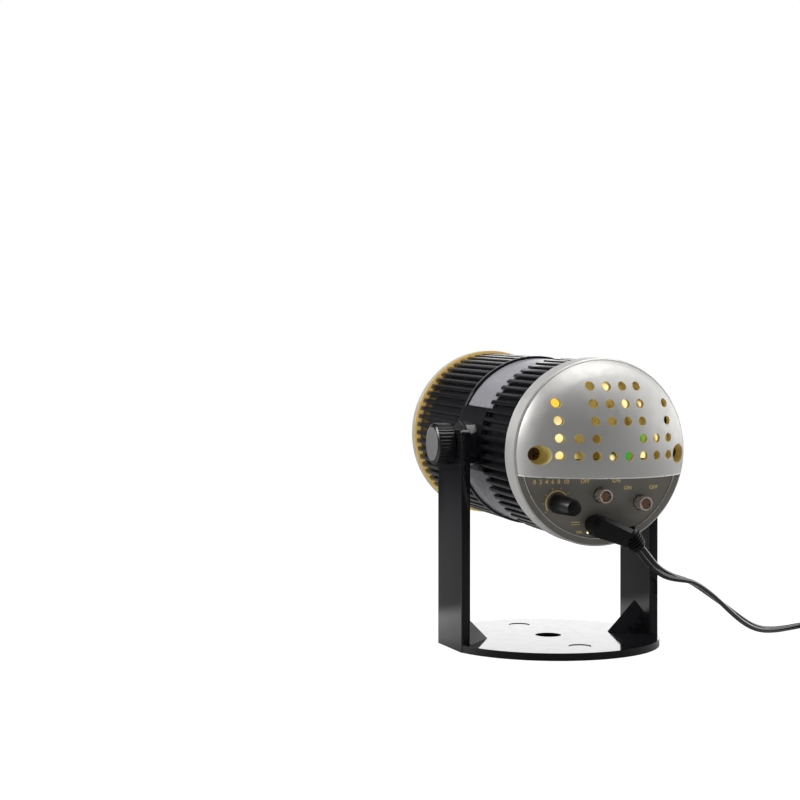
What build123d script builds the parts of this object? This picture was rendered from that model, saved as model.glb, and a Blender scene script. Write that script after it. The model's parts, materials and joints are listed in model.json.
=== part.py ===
"""Planetarium projector: a ribbed lamp head that tilts in a U-shaped stand, with its DC lead and adapter.

Row frame: +Z up, the pivot axis along X, the light leaves the head towards +Y, the controls face -Y.
The origin is the centre of the stand's underside. All sizes are in millimetres.
"""

from build123d import *
import os
from math import asin, cos, degrees, radians, sin, sqrt, tan

# ---------------------------------------------------------------- stand
base_radius = 55.0
base_thickness = 3.6
base_hole_radius = 6.5
sink_mark_radius = 5.5
sink_mark_reach = 36.0
sink_mark_depth = 0.3
arm_span = 106.2
arm_width = 32.4
arm_thickness = 4.7
arm_rise = 7.3
arm_corner = 2.5
arm_edge = 0.8
gusset_reach = 15.4
gusset_height = 15.4
pivot_height = 100.0

# ---------------------------------------------------------------- head, along its axis
# A station is the distance behind the pivot, so the front of the head has negative stations.
head_tilt = 2.8
bezel_front = -80.0
bezel_thickness = 4.6
bezel_radius = 44.2
bezel_aperture = 36.0
bezel_spigot = 2.2
barrel_bore = 38.2
barrel_root = 40.6
rib_tip = 42.8
rib_width = 2.3
rib_bevel = 0.4
rib_foot = 0.3
rib_count = 60
plain_ring_width = 2.4
plain_radius = 42.95
band_front = -14.7
finger_tip = 13.0
finger_overhang = 3.0
band_thickness = 1.0
pad_top = 17.9
pad_bottom = -12.7
collar_front = 47.3
barrel_spigot = 5.7
ledge_width = 1.9
ledge_depth = 2.0
lens_ledge_width = 10.7
lug_radius = 3.6
lug_circle = 35.0
lens_lug_circle = 31.8
lug_length = 8.5
close_fit = 0.15

# ---------------------------------------------------------------- pivot clamps
boss_radius = 11.0
boss_core_radius = 7.0
boss_core_depth = 3.0
washer_thickness = 0.8
washer_radius = 10.5
face_gap = 0.1
stud_radius = 2.95
stud_clearance = 0.05
arm_hole_radius = 3.3
stud_depth = 8.0
stud_hole_depth = 6.0
insert_radius = 4.45
insert_length = 9.2
knob_radius = 10.25
knob_length = 9.4
knob_dome = 0.9
knob_flutes = 36
flute_side = 0.8

# ---------------------------------------------------------------- rear cap and control panel
collar_radius = 44.0
collar_length = 10.7
cap_wall = 2.2
dome_apex = 79.0
dome_crown_radius = 60.0
dome_crown_angle = 37.0
dome_shoulder_radius = 21.5
shoulder = 0.7
lip_height = -10.2
shelf_thickness = 2.0
panel_thickness = 2.0
panel_radius = 40.25
panel_set_in = 0.4
panel_ledge_thickness = 1.8
panel_ledge_radius = 38.6
vent_pitch = 7.85
vent_radius = 2.1
vent_rows = ["..oooo..", "o.oooo.o", "o.oooo.o", "ooo..ooo", "oooooooo"]
well_reach = 35.2
well_radius = 4.5
well_wall = 1.4
cap_boss_depth = 8.0
cap_screw_radius = 1.5
cap_screw_head_radius = 3.0
cap_screw_head = 2.2
cap_screw_length = 12.0
cross_slot_length = 4.0
cross_slot_width = 0.8
cross_slot_depth = 1.2

# ---------------------------------------------------------------- controls, seen from behind: right, up
speed_place = (-21.6, -23.4)
power_place = (0.4, -20.0)
motor_place = (21.2, -23.9)
jack_place = (-3.4, -33.6)
lamp_place = (-5.6, -37.4)
speed_knob_base_radius = 4.6
speed_knob_end_radius = 3.75
speed_knob_length = 18.2
speed_knob_gap = 0.6
speed_knob_end_wall = 4.0
speed_shaft_radius = 2.5
speed_shaft_clearance = 0.4
pot_radius = 5.5
pot_length = 6.9
pot_bushing_radius = 3.3
pot_bushing_length = 2.4
running_fit = 0.08
button_radius = 3.3
button_hole_radius = 3.65
button_stand = 6.1
button_dish = 0.8
button_rim = 0.7
button_skirt = 3.3
button_travel = 2.5
switch_side = 8.4
switch_height = 5.9
plunger_radius = 1.6
plunger_length = 5.1
plunger_gap = 0.5
board_station = 44.0
board_thickness = 1.6
board_radius = 37.9
board_top = -4.2
tongue_left = 10.0
tongue_right = 24.0
tongue_top = 8.0
tongue_overlap = 1.0
lug_angles = (90.0, 210.0, 330.0)
board_lug_angles = (197.0, 290.0, 343.0)
screw_radius = 1.45
screw_head_radius = 2.7
screw_head = 1.8
screw_length = 8.0
jack_radius = 3.6
jack_bore = 2.85
jack_floor = 1.0
jack_pin_radius = 1.0
jack_hole_radius = 3.0
lamp_radius = 0.55
lamp_flange_radius = 0.75
lamp_flange = 1.2

# ---------------------------------------------------------------- optics, from the front
ring_front = -87.5
ring_radius = 27.0
ring_lip = 2.0
ring_lip_radius = 18.0
ring_flutes = 40
ring_flute_side = 1.5
tube_radius = 22.0
tube_bore = 20.0
tube_front = -83.0
lens_plate_set_back = 4.3
lens_plate_thickness = 2.5
cell_front = -82.0
cell_length = 12.0
cell_wall = 2.7
cell_ledge = 2.5
focus_travel = 2.5
focus_clearance = 0.3
lens_thickness = 7.0
lens_sag = 2.2
retainer_thickness = 1.7
cam_pin_radius = 1.0
cam_pin_reach = 23.3
cam_pin_station = -76.0
part_overlap = 1.0
cam_relief = 1.5
gear_module = 0.8
gear_teeth = 65
pinion_teeth = 10
tooth_height = 1.5
tooth_root_width = 1.55
tooth_tip_width = 0.6
tooth_foot = 0.3
root_clearance = 0.15
end_play = 0.2
gear_front = -48.4
gear_width = 3.2
disc_thickness = 1.0
disc_radius = 24.1
disc_aperture = 22.0
star_count = 42
star_turn = 137.5
star_start = 2.5
star_margin = 4.5
star_radii = (0.35, 0.5, 0.75)
sleeve_radius = 23.5
sleeve_length = 4.7
holder_thickness = 3.0
holder_rear = -41.5
clip_thickness = 0.8
clip_radius = 24.8
clip_gap = 3.0
motor_radius = 6.0
motor_length = 18.0
gearbox_length = 8.5
gearbox_width = 12.0
gearbox_height = 9.6
motor_shaft_radius = 1.0
motor_shaft_length = 3.5
motor_bore_depth = 4.0
motor_shaft_hole_radius = 2.0
lamp_tube_front = -38.5
lamp_tube_radius = 21.5
lamp_tube_bore = 19.2
lamp_flange_plate = 2.0
condenser_front = -36.0
condenser_edge = 2.0
condenser_sag = 6.0
chassis_front = 8.0
chassis_thickness = 2.0
chassis_slot = (12.0, 5.0)
chassis_slot_place = (14.0, 14.0)
sink_base_front = -7.5
sink_base_thickness = 3.0
sink_radius = 24.0
fin_count = 7
fin_thickness = 1.6
fin_pitch = 6.0
led_board_radius = 9.0
led_board_thickness = 1.5
led_radius = 2.5
led_rim = 0.6

# ---------------------------------------------------------------- DC lead
plug_station = 65.0
plug_height = 10.4
plug_head_radius = 5.3
plug_end_half = 4.4
plug_length = 16.0
plug_turn = -21.3
plug_collar_radius = 4.1
plug_gap = 0.4
plug_socket = 3.0
plug_edge = 2.2
sleeve_tip_radius = 2.75
sleeve_tip_bore = 1.1
sleeve_clearance = 1.5
relief_length = 8.5
relief_droop = -28.0
relief_start_radius = 3.7
relief_end_radius = 2.9
cord_radius = 2.4
bend_share = 0.45
first_run = 6.5
coil_centre = (178.0, -22.0)
coil_outer = 33.0
coil_inner = 22.0
coil_height = 10.4
tail_angle = -55.0
tail_turn_radius = 30.0
tail_clear = 13.4
tail_height = 7.8
tail_length = 26.0
adapter_relief_length = 12.0
adapter_relief_radius = 3.9
adapter_length = 46.0
adapter_width = 30.0
adapter_height = 28.0
adapter_edge = 3.0
adapter_rim = 1.0
pin_length = 17.0
pin_width = 6.35
pin_thickness = 1.5
pin_spacing = 12.7

# ---------------------------------------------------------------- the head's own frame
tilt = radians(head_tilt)
pivot_point = Vector(0, 0, pivot_height)
rearward = Vector(0, -cos(tilt), -sin(tilt))
head_plane = Plane(origin=pivot_point, x_dir=(1, 0, 0), z_dir=rearward)
side_plane = Plane(origin=pivot_point, x_dir=rearward, z_dir=(-1, 0, 0))
head_axis = Axis(pivot_point, rearward)
pivot_plane = Plane(origin=pivot_point, x_dir=(0, 1, 0), z_dir=(1, 0, 0))


def across(station):
    """The plane square to the head's axis at a station, seen from behind."""
    return head_plane.offset(station)


def turned(*outline):
    """A solid turned about the head's axis from an outline of (station, radius) points."""
    with BuildPart() as piece:
        with BuildSketch(side_plane):
            with BuildLine():
                Polyline(*outline, close=True)
            make_face()
        revolve(axis=head_axis)
    return piece


def rib(length, tip_cut=0.0):
    """One rib with bevelled long edges, lying along +Z at the barrel's radius on +X, its first end cut or not."""
    with BuildPart() as bar:
        with BuildSketch():
            with BuildLine():
                Polyline(
                    (barrel_root - rib_foot, -rib_width / 2),
                    (rib_tip - rib_bevel, -rib_width / 2),
                    (rib_tip, rib_bevel - rib_width / 2),
                    (rib_tip, rib_width / 2 - rib_bevel),
                    (rib_tip - rib_bevel, rib_width / 2),
                    (barrel_root - rib_foot, rib_width / 2),
                    close=True,
                )
            make_face()
        extrude(amount=length)
        if tip_cut:
            tip = bar.faces().sort_by(Axis.Z)[0]
            chamfer(tip.edges().filter_by(Axis.X), tip_cut)
    return bar


def rib_ring(bar, station):
    """Ribs all round the barrel, from a station backwards."""
    with BuildPart(across(station)) as ribs:
        with PolarLocations(0, rib_count):
            add(bar.part)
    return ribs


def keep(piece, name):
    """Labels a finished piece and writes its STEP file."""
    piece.part.label = name
    export_step(piece.part, f"parts/{name}.step")


os.makedirs("parts", exist_ok=True)

# ================================================================ stand
# One moulding: a round foot with two upright arms flush with its sides, and a gusset inside each arm.
inner_face = arm_span / 2 - arm_thickness
arm_top = pivot_height + arm_rise


def upright_arm(side):
    """One arm with rounded long edges, standing on the underside's level."""
    with BuildPart() as arm:
        with BuildSketch(Plane.YZ.offset(side * arm_span / 2)) as arm_outline:
            Rectangle(arm_width, arm_top, align=(Align.CENTER, Align.MIN))
            fillet(arm_outline.vertices().group_by(Axis.Y)[-1], arm_corner)
        extrude(amount=-side * arm_thickness)
        fillet(arm.edges().filter_by(Axis.Z), arm_edge)
    return arm


arms = [upright_arm(side) for side in (-1, 1)]
with BuildPart() as stand_bracket:
    with BuildSketch(Plane.XY):
        Circle(base_radius)
        Rectangle(arm_span, 2 * base_radius, mode=Mode.INTERSECT)
    extrude(amount=base_thickness)
    for arm, side in zip(arms, (-1, 1)):
        add(arm.part)
        with BuildSketch(Plane.XY.offset(base_thickness), mode=Mode.PRIVATE) as gusset_foot:
            with BuildLine():
                Polyline(
                    (side * inner_face, -arm_width / 2),
                    (side * inner_face, arm_width / 2),
                    (side * (inner_face - gusset_reach), 0),
                    close=True,
                )
            make_face()
        gusset_apex = Vertex(side * inner_face, 0, base_thickness + gusset_height)
        loft(sections=[gusset_foot.sketch.face(), gusset_apex], ruled=True)
    with BuildSketch(Plane.XY):
        Circle(base_hole_radius)
    extrude(amount=base_thickness, mode=Mode.SUBTRACT)
    with BuildSketch(Plane.XY.offset(base_thickness)):
        with Locations((0, sink_mark_reach), (0, -sink_mark_reach)):
            Circle(sink_mark_radius)
    extrude(amount=-sink_mark_depth, mode=Mode.SUBTRACT)
    with BuildSketch(pivot_plane):
        Circle(arm_hole_radius)
    extrude(amount=arm_span, both=True, mode=Mode.SUBTRACT)
keep(stand_bracket, "stand_bracket")

# ================================================================ barrel
# The black body of the head: a tube with ribs, a channel for the silver band, and the pivot bosses.
bezel_rear = bezel_front + bezel_thickness
channel_rear = finger_tip + finger_overhang
channel_top = barrel_root + band_thickness + 2 * face_gap
spigot_rear = collar_front + barrel_spigot
boss_face = inner_face - face_gap - washer_thickness
plate_front = bezel_rear + lens_plate_set_back
lens_ledge = plate_front + lens_plate_thickness
front_ribs = rib_ring(rib(band_front - plain_ring_width - bezel_rear), bezel_rear)
rear_ribs = rib_ring(rib(collar_front - finger_tip, rib_width / 3), finger_tip)
cap_boss_rear = collar_front + collar_length - cap_wall - face_gap
cap_boss_front = cap_boss_rear - cap_screw_length - cap_boss_depth

with BuildPart() as barrel:
    with BuildSketch(across(bezel_rear)):
        Circle(barrel_root)
    extrude(amount=spigot_rear - bezel_rear)
    add(front_ribs.part)
    add(rear_ribs.part)
    with BuildSketch(across(band_front - plain_ring_width)):
        Circle(plain_radius)
    extrude(amount=plain_ring_width)
    with BuildSketch(across(band_front)):
        Circle(channel_top)
        Circle(barrel_root, mode=Mode.SUBTRACT)
    extrude(amount=channel_rear - band_front, mode=Mode.SUBTRACT)
    for pad_radius, pad_rear in (
        (plain_radius, finger_tip + rib_width / 2),
        (channel_top + face_gap, channel_rear),
    ):
        with BuildSketch(across(band_front)):
            Circle(pad_radius)
            with Locations((0, (pad_top + pad_bottom) / 2)):
                Rectangle(3 * rib_tip, pad_top - pad_bottom, mode=Mode.INTERSECT)
        extrude(amount=pad_rear - band_front)
    for side in (-1, 1):
        with BuildSketch(pivot_plane.offset(side * boss_face)):
            Circle(boss_radius)
        extrude(amount=-side * (boss_face - barrel_bore))
    with BuildSketch(across(bezel_rear)):
        Circle(barrel_bore)
    extrude(amount=spigot_rear - bezel_rear, mode=Mode.SUBTRACT)
    for side in (-1, 1):
        with BuildSketch(pivot_plane.offset(side * (barrel_bore - boss_core_depth))):
            Circle(boss_core_radius)
        extrude(amount=side * (boss_core_depth + cap_wall))
        with BuildSketch(pivot_plane.offset(side * boss_face)):
            Circle(insert_radius + stud_clearance)
        extrude(amount=-side * (insert_length + face_gap), mode=Mode.SUBTRACT)
        with BuildSketch(across(cap_boss_rear)):
            with Locations((side * well_reach, 0)):
                Circle(lug_radius)
        extrude(amount=cap_boss_front - cap_boss_rear)
    for ledge, width in (
        (lens_ledge, lens_ledge_width),
        (holder_rear, ledge_width),
        (chassis_front - ledge_depth, ledge_width),
    ):
        with BuildSketch(across(ledge)):
            Circle(barrel_bore + ledge_width / 2)
            Circle(barrel_bore - width, mode=Mode.SUBTRACT)
        extrude(amount=ledge_depth)
    for front, circle, angles in (
        (lens_ledge, lens_lug_circle, lug_angles),
        (holder_rear, lug_circle, lug_angles),
        (chassis_front - lug_length, lug_circle, lug_angles),
        (board_station - lug_length, lug_circle, board_lug_angles),
    ):
        with BuildSketch(across(front)):
            for angle in angles:
                with PolarLocations(circle, 1, angle):
                    Circle(lug_radius)
        extrude(amount=lug_length)
        with BuildSketch(across(front)):
            for angle in angles:
                with PolarLocations(circle, 1, angle):
                    Circle(screw_radius + stud_clearance)
        extrude(amount=lug_length, mode=Mode.SUBTRACT)
    with BuildSketch(across(cap_boss_rear)):
        with Locations((well_reach, 0), (-well_reach, 0)):
            Circle(cap_screw_radius + stud_clearance)
    extrude(amount=-cap_screw_length, mode=Mode.SUBTRACT)
keep(barrel, "barrel")

# ================================================================ silver band
# Two sprung arcs that lie in the channel, above and below the pivot pads.
for name, low, high in (
    ("upper_trim_band", pad_top + face_gap, rib_tip),
    ("lower_trim_band", -rib_tip, pad_bottom - face_gap),
):
    with BuildPart() as trim_band:
        with BuildSketch(across(band_front + face_gap)):
            Circle(barrel_root + face_gap + band_thickness)
            Circle(barrel_root + face_gap, mode=Mode.SUBTRACT)
            with Locations((0, (low + high) / 2)):
                Rectangle(3 * rib_tip, high - low, mode=Mode.INTERSECT)
        extrude(amount=channel_rear - band_front - 2 * face_gap)
    keep(trim_band, name)

# ================================================================ pivot clamps
with BuildPart() as friction_washers:
    for side in (-1, 1):
        with BuildSketch(pivot_plane.offset(side * boss_face)):
            Circle(washer_radius)
            Circle(arm_hole_radius, mode=Mode.SUBTRACT)
        extrude(amount=side * washer_thickness)
keep(friction_washers, "friction_washers")

with BuildPart() as thread_inserts:
    for side in (-1, 1):
        with BuildSketch(pivot_plane.offset(side * boss_face)):
            Circle(insert_radius)
            Circle(stud_radius + stud_clearance, mode=Mode.SUBTRACT)
        extrude(amount=-side * insert_length)
keep(thread_inserts, "thread_inserts")

knob_face = arm_span / 2 + face_gap
for side, hand in ((-1, "left"), (1, "right")):
    with BuildPart() as clamp_knob:
        with BuildSketch(pivot_plane.offset(side * knob_face)):
            Circle(knob_radius)
            with PolarLocations(knob_radius, knob_flutes):
                Rectangle(flute_side, flute_side, rotation=45, mode=Mode.SUBTRACT)
            Circle(stud_radius + stud_clearance, mode=Mode.SUBTRACT)
        extrude(amount=side * stud_hole_depth)
        with BuildSketch(pivot_plane.offset(side * (knob_face + stud_hole_depth))):
            Circle(knob_radius)
            with PolarLocations(knob_radius, knob_flutes):
                Rectangle(flute_side, flute_side, rotation=45, mode=Mode.SUBTRACT)
        extrude(amount=side * (knob_length - stud_hole_depth - knob_dome))
        with BuildSketch(pivot_plane.offset(side * (knob_face + knob_length - knob_dome))):
            Circle(knob_radius - flute_side / sqrt(2))
        extrude(amount=side * knob_dome, taper=35)
    keep(clamp_knob, f"{hand}_clamp_knob")
    with BuildPart() as clamp_stud:
        with BuildSketch(pivot_plane.offset(side * (boss_face - stud_depth))):
            Circle(stud_radius)
        extrude(amount=side * (knob_face + stud_hole_depth - face_gap - boss_face + stud_depth))
    keep(clamp_stud, f"{hand}_clamp_stud")

# ================================================================ front bezel and optics
bezel = turned(
    (bezel_front + shoulder, bezel_radius),
    (bezel_rear, bezel_radius),
    (bezel_rear, barrel_bore - close_fit),
    (bezel_rear + bezel_spigot, barrel_bore - close_fit),
    (bezel_rear + bezel_spigot, bezel_aperture),
    (bezel_front, bezel_aperture),
    (bezel_front, bezel_radius - shoulder),
)
keep(bezel, "front_bezel")

cell_radius = tube_bore - running_fit
with BuildPart() as lens_plate:
    with BuildSketch(across(plate_front)):
        Circle(barrel_bore - close_fit)
        for angle in lug_angles:
            with PolarLocations(lens_lug_circle, 1, angle):
                Circle(screw_radius + stud_clearance, mode=Mode.SUBTRACT)
    extrude(amount=lens_plate_thickness)
    with BuildSketch(across(tube_front)):
        Circle(tube_radius)
    extrude(amount=plate_front - tube_front)
    with BuildSketch(across(tube_front)):
        Circle(tube_bore)
    extrude(amount=plate_front + lens_plate_thickness - tube_front, mode=Mode.SUBTRACT)
    slot_half = focus_travel + cam_pin_radius + close_fit
    slot_plane = Plane(origin=pivot_point, x_dir=rearward, z_dir=head_plane.y_dir)
    with BuildSketch(slot_plane):
        with Locations((cam_pin_station, 0)):
            Rectangle(2 * slot_half, 2 * (cam_pin_radius + running_fit))
    extrude(amount=tube_radius + part_overlap, mode=Mode.SUBTRACT)
keep(lens_plate, "lens_plate")

with BuildPart() as focus_ring:
    with BuildSketch(across(ring_front)):
        Circle(ring_radius)
        with PolarLocations(ring_radius, ring_flutes):
            Rectangle(ring_flute_side, ring_flute_side, rotation=45, mode=Mode.SUBTRACT)
    extrude(amount=plate_front - focus_clearance - ring_front)
    with BuildSketch(across(ring_front)):
        Circle(ring_lip_radius)
    extrude(amount=ring_lip, mode=Mode.SUBTRACT)
    with BuildSketch(across(ring_front + ring_lip)):
        Circle(tube_radius + running_fit)
    extrude(amount=plate_front - ring_front, mode=Mode.SUBTRACT)
    relief_half = focus_travel + cam_pin_radius + focus_clearance
    with BuildSketch(across(cam_pin_station - relief_half)):
        Circle(tube_radius + cam_relief)
    extrude(amount=2 * relief_half, mode=Mode.SUBTRACT)
keep(focus_ring, "focus_ring")

cell_rear = cell_front + cell_length
lens_rear = cell_rear - cell_ledge
lens_front = lens_rear - lens_thickness
glass_radius = cell_radius - cell_wall - running_fit
with BuildPart() as lens_cell:
    with BuildSketch(across(cell_front)):
        Circle(cell_radius)
        Circle(cell_radius - cell_wall, mode=Mode.SUBTRACT)
    extrude(amount=cell_length)
    with BuildSketch(across(lens_rear)):
        Circle(cell_radius)
        Circle(cell_radius - cell_wall - cap_wall, mode=Mode.SUBTRACT)
    extrude(amount=cell_ledge)
    with BuildSketch(slot_plane.offset(cell_radius - part_overlap)):
        with Locations((cam_pin_station, 0)):
            Circle(cam_pin_radius)
    extrude(amount=cam_pin_reach - cell_radius + part_overlap)
keep(lens_cell, "lens_cell")

lens_curve = (glass_radius**2 + lens_sag**2) / (2 * lens_sag)
lens_arc = degrees(asin(glass_radius / lens_curve))
with BuildPart() as objective_lens:
    with BuildSketch(side_plane):
        with BuildLine():
            front_curve = JernArc((lens_front, 0), (0, 1), lens_curve, -lens_arc)
            rear_curve = JernArc((lens_rear, 0), (0, 1), lens_curve, lens_arc)
            Line(front_curve @ 1, rear_curve @ 1)
            Line(front_curve @ 0, rear_curve @ 0)
        make_face()
    revolve(axis=head_axis)
keep(objective_lens, "objective_lens")

retainer_rear = lens_front + lens_sag
retainer_bore = glass_radius - cap_wall
glass_at_bore = lens_front + lens_curve - sqrt(lens_curve**2 - retainer_bore**2)
lens_retainer = turned(
    (retainer_rear - running_fit, glass_radius),
    (retainer_rear - retainer_thickness, glass_radius),
    (retainer_rear - retainer_thickness, retainer_bore),
    (glass_at_bore - running_fit, retainer_bore),
)
keep(lens_retainer, "lens_retainer")

# ---------------------------------------------------------------- star disc and its drive
gear_pitch_radius = gear_module * gear_teeth / 2
pinion_pitch_radius = gear_module * pinion_teeth / 2
drive_reach = gear_pitch_radius + pinion_pitch_radius
gear_root = gear_pitch_radius - tooth_height / 2 - root_clearance
pinion_root = pinion_pitch_radius - tooth_height / 2 - root_clearance
gear_rear = gear_front + gear_width


def teeth(root, count, first_angle):
    """Straight-flanked teeth standing on a root circle, the first at the angle given."""
    with PolarLocations(root + tooth_height / 2, count, first_angle):
        with BuildLine(mode=Mode.PRIVATE) as tooth:
            Polyline(
                (-tooth_height / 2 - tooth_foot, -tooth_root_width / 2),
                (tooth_height / 2, -tooth_tip_width / 2),
                (tooth_height / 2, tooth_tip_width / 2),
                (-tooth_height / 2 - tooth_foot, tooth_root_width / 2),
                close=True,
            )
        add(make_face(tooth.edges(), mode=Mode.PRIVATE))


with BuildPart() as disc_gear:
    with BuildSketch(across(gear_front)):
        Circle(gear_root)
        teeth(gear_root, gear_teeth, -90.0 + 180.0 / gear_teeth)
    extrude(amount=gear_width)
    with BuildSketch(across(gear_rear)):
        Circle(sleeve_radius)
    extrude(amount=sleeve_length)
    with BuildSketch(across(gear_front)):
        Circle(disc_aperture)
    extrude(amount=gear_width + sleeve_length, mode=Mode.SUBTRACT)
    with BuildSketch(across(gear_front)):
        Circle(disc_radius + face_gap)
    extrude(amount=disc_thickness + 2 * face_gap, mode=Mode.SUBTRACT)
keep(disc_gear, "disc_gear")

with BuildPart() as star_disc:
    with BuildSketch(across(gear_front + face_gap)):
        Circle(disc_radius)
        for star in range(star_count):
            spread = star_start + (disc_aperture - star_margin) * sqrt(star / star_count)
            with PolarLocations(spread, 1, star_turn * star):
                RegularPolygon(star_radii[star % len(star_radii)], 6, mode=Mode.SUBTRACT)
    extrude(amount=disc_thickness)
keep(star_disc, "star_disc")

holder_front = holder_rear - holder_thickness
with BuildPart() as disc_holder:
    with BuildSketch(across(holder_front)):
        Circle(barrel_bore - close_fit)
        Circle(sleeve_radius + running_fit, mode=Mode.SUBTRACT)
        for angle in lug_angles:
            with PolarLocations(lug_circle, 1, angle):
                Circle(screw_radius + stud_clearance, mode=Mode.SUBTRACT)
        with Locations((0, -drive_reach)):
            Circle(motor_shaft_hole_radius, mode=Mode.SUBTRACT)
    extrude(amount=holder_thickness)
keep(disc_holder, "disc_holder")

with BuildPart() as disc_clip:
    with BuildSketch(across(holder_rear + end_play)):
        Circle(clip_radius)
        Circle(sleeve_radius, mode=Mode.SUBTRACT)
        with Locations((0, clip_radius)):
            Rectangle(clip_gap, clip_radius, mode=Mode.SUBTRACT)
    extrude(amount=clip_thickness)
keep(disc_clip, "disc_clip")

with BuildPart() as motor:
    with BuildSketch(across(holder_rear)):
        with Locations((0, -drive_reach)):
            Rectangle(gearbox_width, gearbox_height)
    extrude(amount=gearbox_length)
    with BuildSketch(across(holder_rear + gearbox_length)):
        with Locations((0, -drive_reach)):
            Circle(motor_radius)
            Rectangle(2 * motor_radius, gearbox_height, mode=Mode.INTERSECT)
    extrude(amount=motor_length - gearbox_length)
    with BuildSketch(across(holder_rear)):
        with Locations((0, -drive_reach)):
            Circle(motor_shaft_radius + running_fit)
    extrude(amount=motor_bore_depth, mode=Mode.SUBTRACT)
keep(motor, "motor")

with BuildPart() as motor_pinion:
    with BuildSketch(across(gear_front + end_play)):
        with Locations((0, -drive_reach)):
            Circle(pinion_root)
            teeth(pinion_root, pinion_teeth, 90.0)
    extrude(amount=gear_width - 2 * end_play)
    with BuildSketch(across(gear_front)):
        with Locations((0, -drive_reach)):
            Circle(motor_shaft_radius)
    extrude(amount=holder_rear + motor_shaft_length - gear_front)
keep(motor_pinion, "motor_pinion")

# ---------------------------------------------------------------- lamp
tube_rear = sink_base_front
condenser_rear = condenser_front + condenser_sag + condenser_edge
with BuildPart() as lamp_tube:
    with BuildSketch(across(lamp_tube_front)):
        Circle(lamp_tube_radius)
        Circle(lamp_tube_bore, mode=Mode.SUBTRACT)
    extrude(amount=tube_rear - lamp_tube_front)
    with BuildSketch(across(tube_rear - lamp_flange_plate)):
        Circle(sink_radius)
        Circle(lamp_tube_bore, mode=Mode.SUBTRACT)
    extrude(amount=lamp_flange_plate)
    with BuildSketch(across(condenser_rear)):
        Circle(lamp_tube_radius)
        Circle(lamp_tube_bore - ledge_width, mode=Mode.SUBTRACT)
    extrude(amount=ledge_depth)
keep(lamp_tube, "lamp_tube")

condenser_rim = lamp_tube_bore - running_fit
condenser_curve = (condenser_rim**2 + condenser_sag**2) / (2 * condenser_sag)
condenser_arc = degrees(asin(condenser_rim / condenser_curve))
with BuildPart() as condenser_lens:
    with BuildSketch(side_plane):
        with BuildLine():
            crown = JernArc((condenser_front, 0), (0, 1), condenser_curve, -condenser_arc)
            Polyline(crown @ 1, (condenser_rear, condenser_rim), (condenser_rear, 0), crown @ 0)
        make_face()
    revolve(axis=head_axis)
keep(condenser_lens, "condenser_lens")

with BuildPart() as heat_sink:
    with BuildSketch(across(sink_base_front)):
        Circle(sink_radius)
    extrude(amount=sink_base_thickness)
    with BuildSketch(across(sink_base_front + sink_base_thickness)):
        with GridLocations(fin_pitch, 0, fin_count, 1):
            Rectangle(fin_thickness, 2 * sink_radius)
        Circle(sink_radius, mode=Mode.INTERSECT)
    extrude(amount=chassis_front - sink_base_front - sink_base_thickness)
keep(heat_sink, "heat_sink")

with BuildPart() as led_board:
    with BuildSketch(across(sink_base_front - led_board_thickness)):
        RegularPolygon(led_board_radius, 6)
    extrude(amount=led_board_thickness)
keep(led_board, "led_board")

led_seat = sink_base_front - led_board_thickness
with BuildPart() as led_lamp:
    with BuildSketch(side_plane):
        with BuildLine():
            led_dome = JernArc((led_seat - led_rim - led_radius, 0), (0, 1), led_radius, -90)
            Polyline(led_dome @ 1, (led_seat, led_radius), (led_seat, 0), led_dome @ 0)
        make_face()
    revolve(axis=head_axis)
keep(led_lamp, "led_lamp")

with BuildPart() as chassis_plate:
    with BuildSketch(across(chassis_front)):
        Circle(barrel_bore - close_fit)
        for angle in lug_angles:
            with PolarLocations(lug_circle, 1, angle):
                Circle(screw_radius + stud_clearance, mode=Mode.SUBTRACT)
        slot_right, slot_up = chassis_slot_place
        with Locations((-slot_right, slot_up), (slot_right, slot_up)):
            SlotOverall(*chassis_slot, mode=Mode.SUBTRACT)
    extrude(amount=chassis_thickness)
keep(chassis_plate, "chassis_plate")


def screws(seat, way, circle, angles):
    """Pan-head screws whose heads sit at a station, with their shanks pointing the way given."""
    with BuildPart() as group:
        for angle in angles:
            with BuildSketch(across(seat)):
                with PolarLocations(circle, 1, angle):
                    Circle(screw_head_radius)
            extrude(amount=-way * screw_head)
            with BuildSketch(across(seat)):
                with PolarLocations(circle, 1, angle):
                    Circle(screw_radius)
            extrude(amount=way * screw_length)
    return group


keep(screws(plate_front, 1, lens_lug_circle, lug_angles), "lens_plate_screws")
keep(screws(holder_front, 1, lug_circle, lug_angles), "disc_holder_screws")
keep(screws(chassis_front + chassis_thickness, -1, lug_circle, lug_angles), "chassis_screws")

# ================================================================ rear cap
# A silver dome on a plain collar. Below the lip the dome is cut away to a flat wall that holds the panel.
rim_station = collar_front + collar_length
wall_front = rim_station - panel_set_in - panel_thickness - panel_ledge_thickness
panel_front = rim_station - panel_set_in - panel_thickness
collar_bore = barrel_root + close_fit
shelf_top = lip_height + shelf_thickness
far = 200.0


def dome_profile(inset):
    """Half the dome's outline, two tangent arcs behind the rim station, set in by a wall."""
    with BuildSketch() as profile:
        with BuildLine():
            crown = JernArc((dome_apex - inset, 0), (0, 1), dome_crown_radius - inset, dome_crown_angle)
            haunch = JernArc(crown @ 1, crown % 1, dome_shoulder_radius - inset, 90 - dome_crown_angle)
            Polyline(haunch @ 1, ((haunch @ 1).X, 0), crown @ 0)
        make_face()
        with Locations((rim_station, 0)):
            Rectangle(far, far, align=(Align.MIN, Align.MIN), mode=Mode.INTERSECT)
    return profile.sketch


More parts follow.
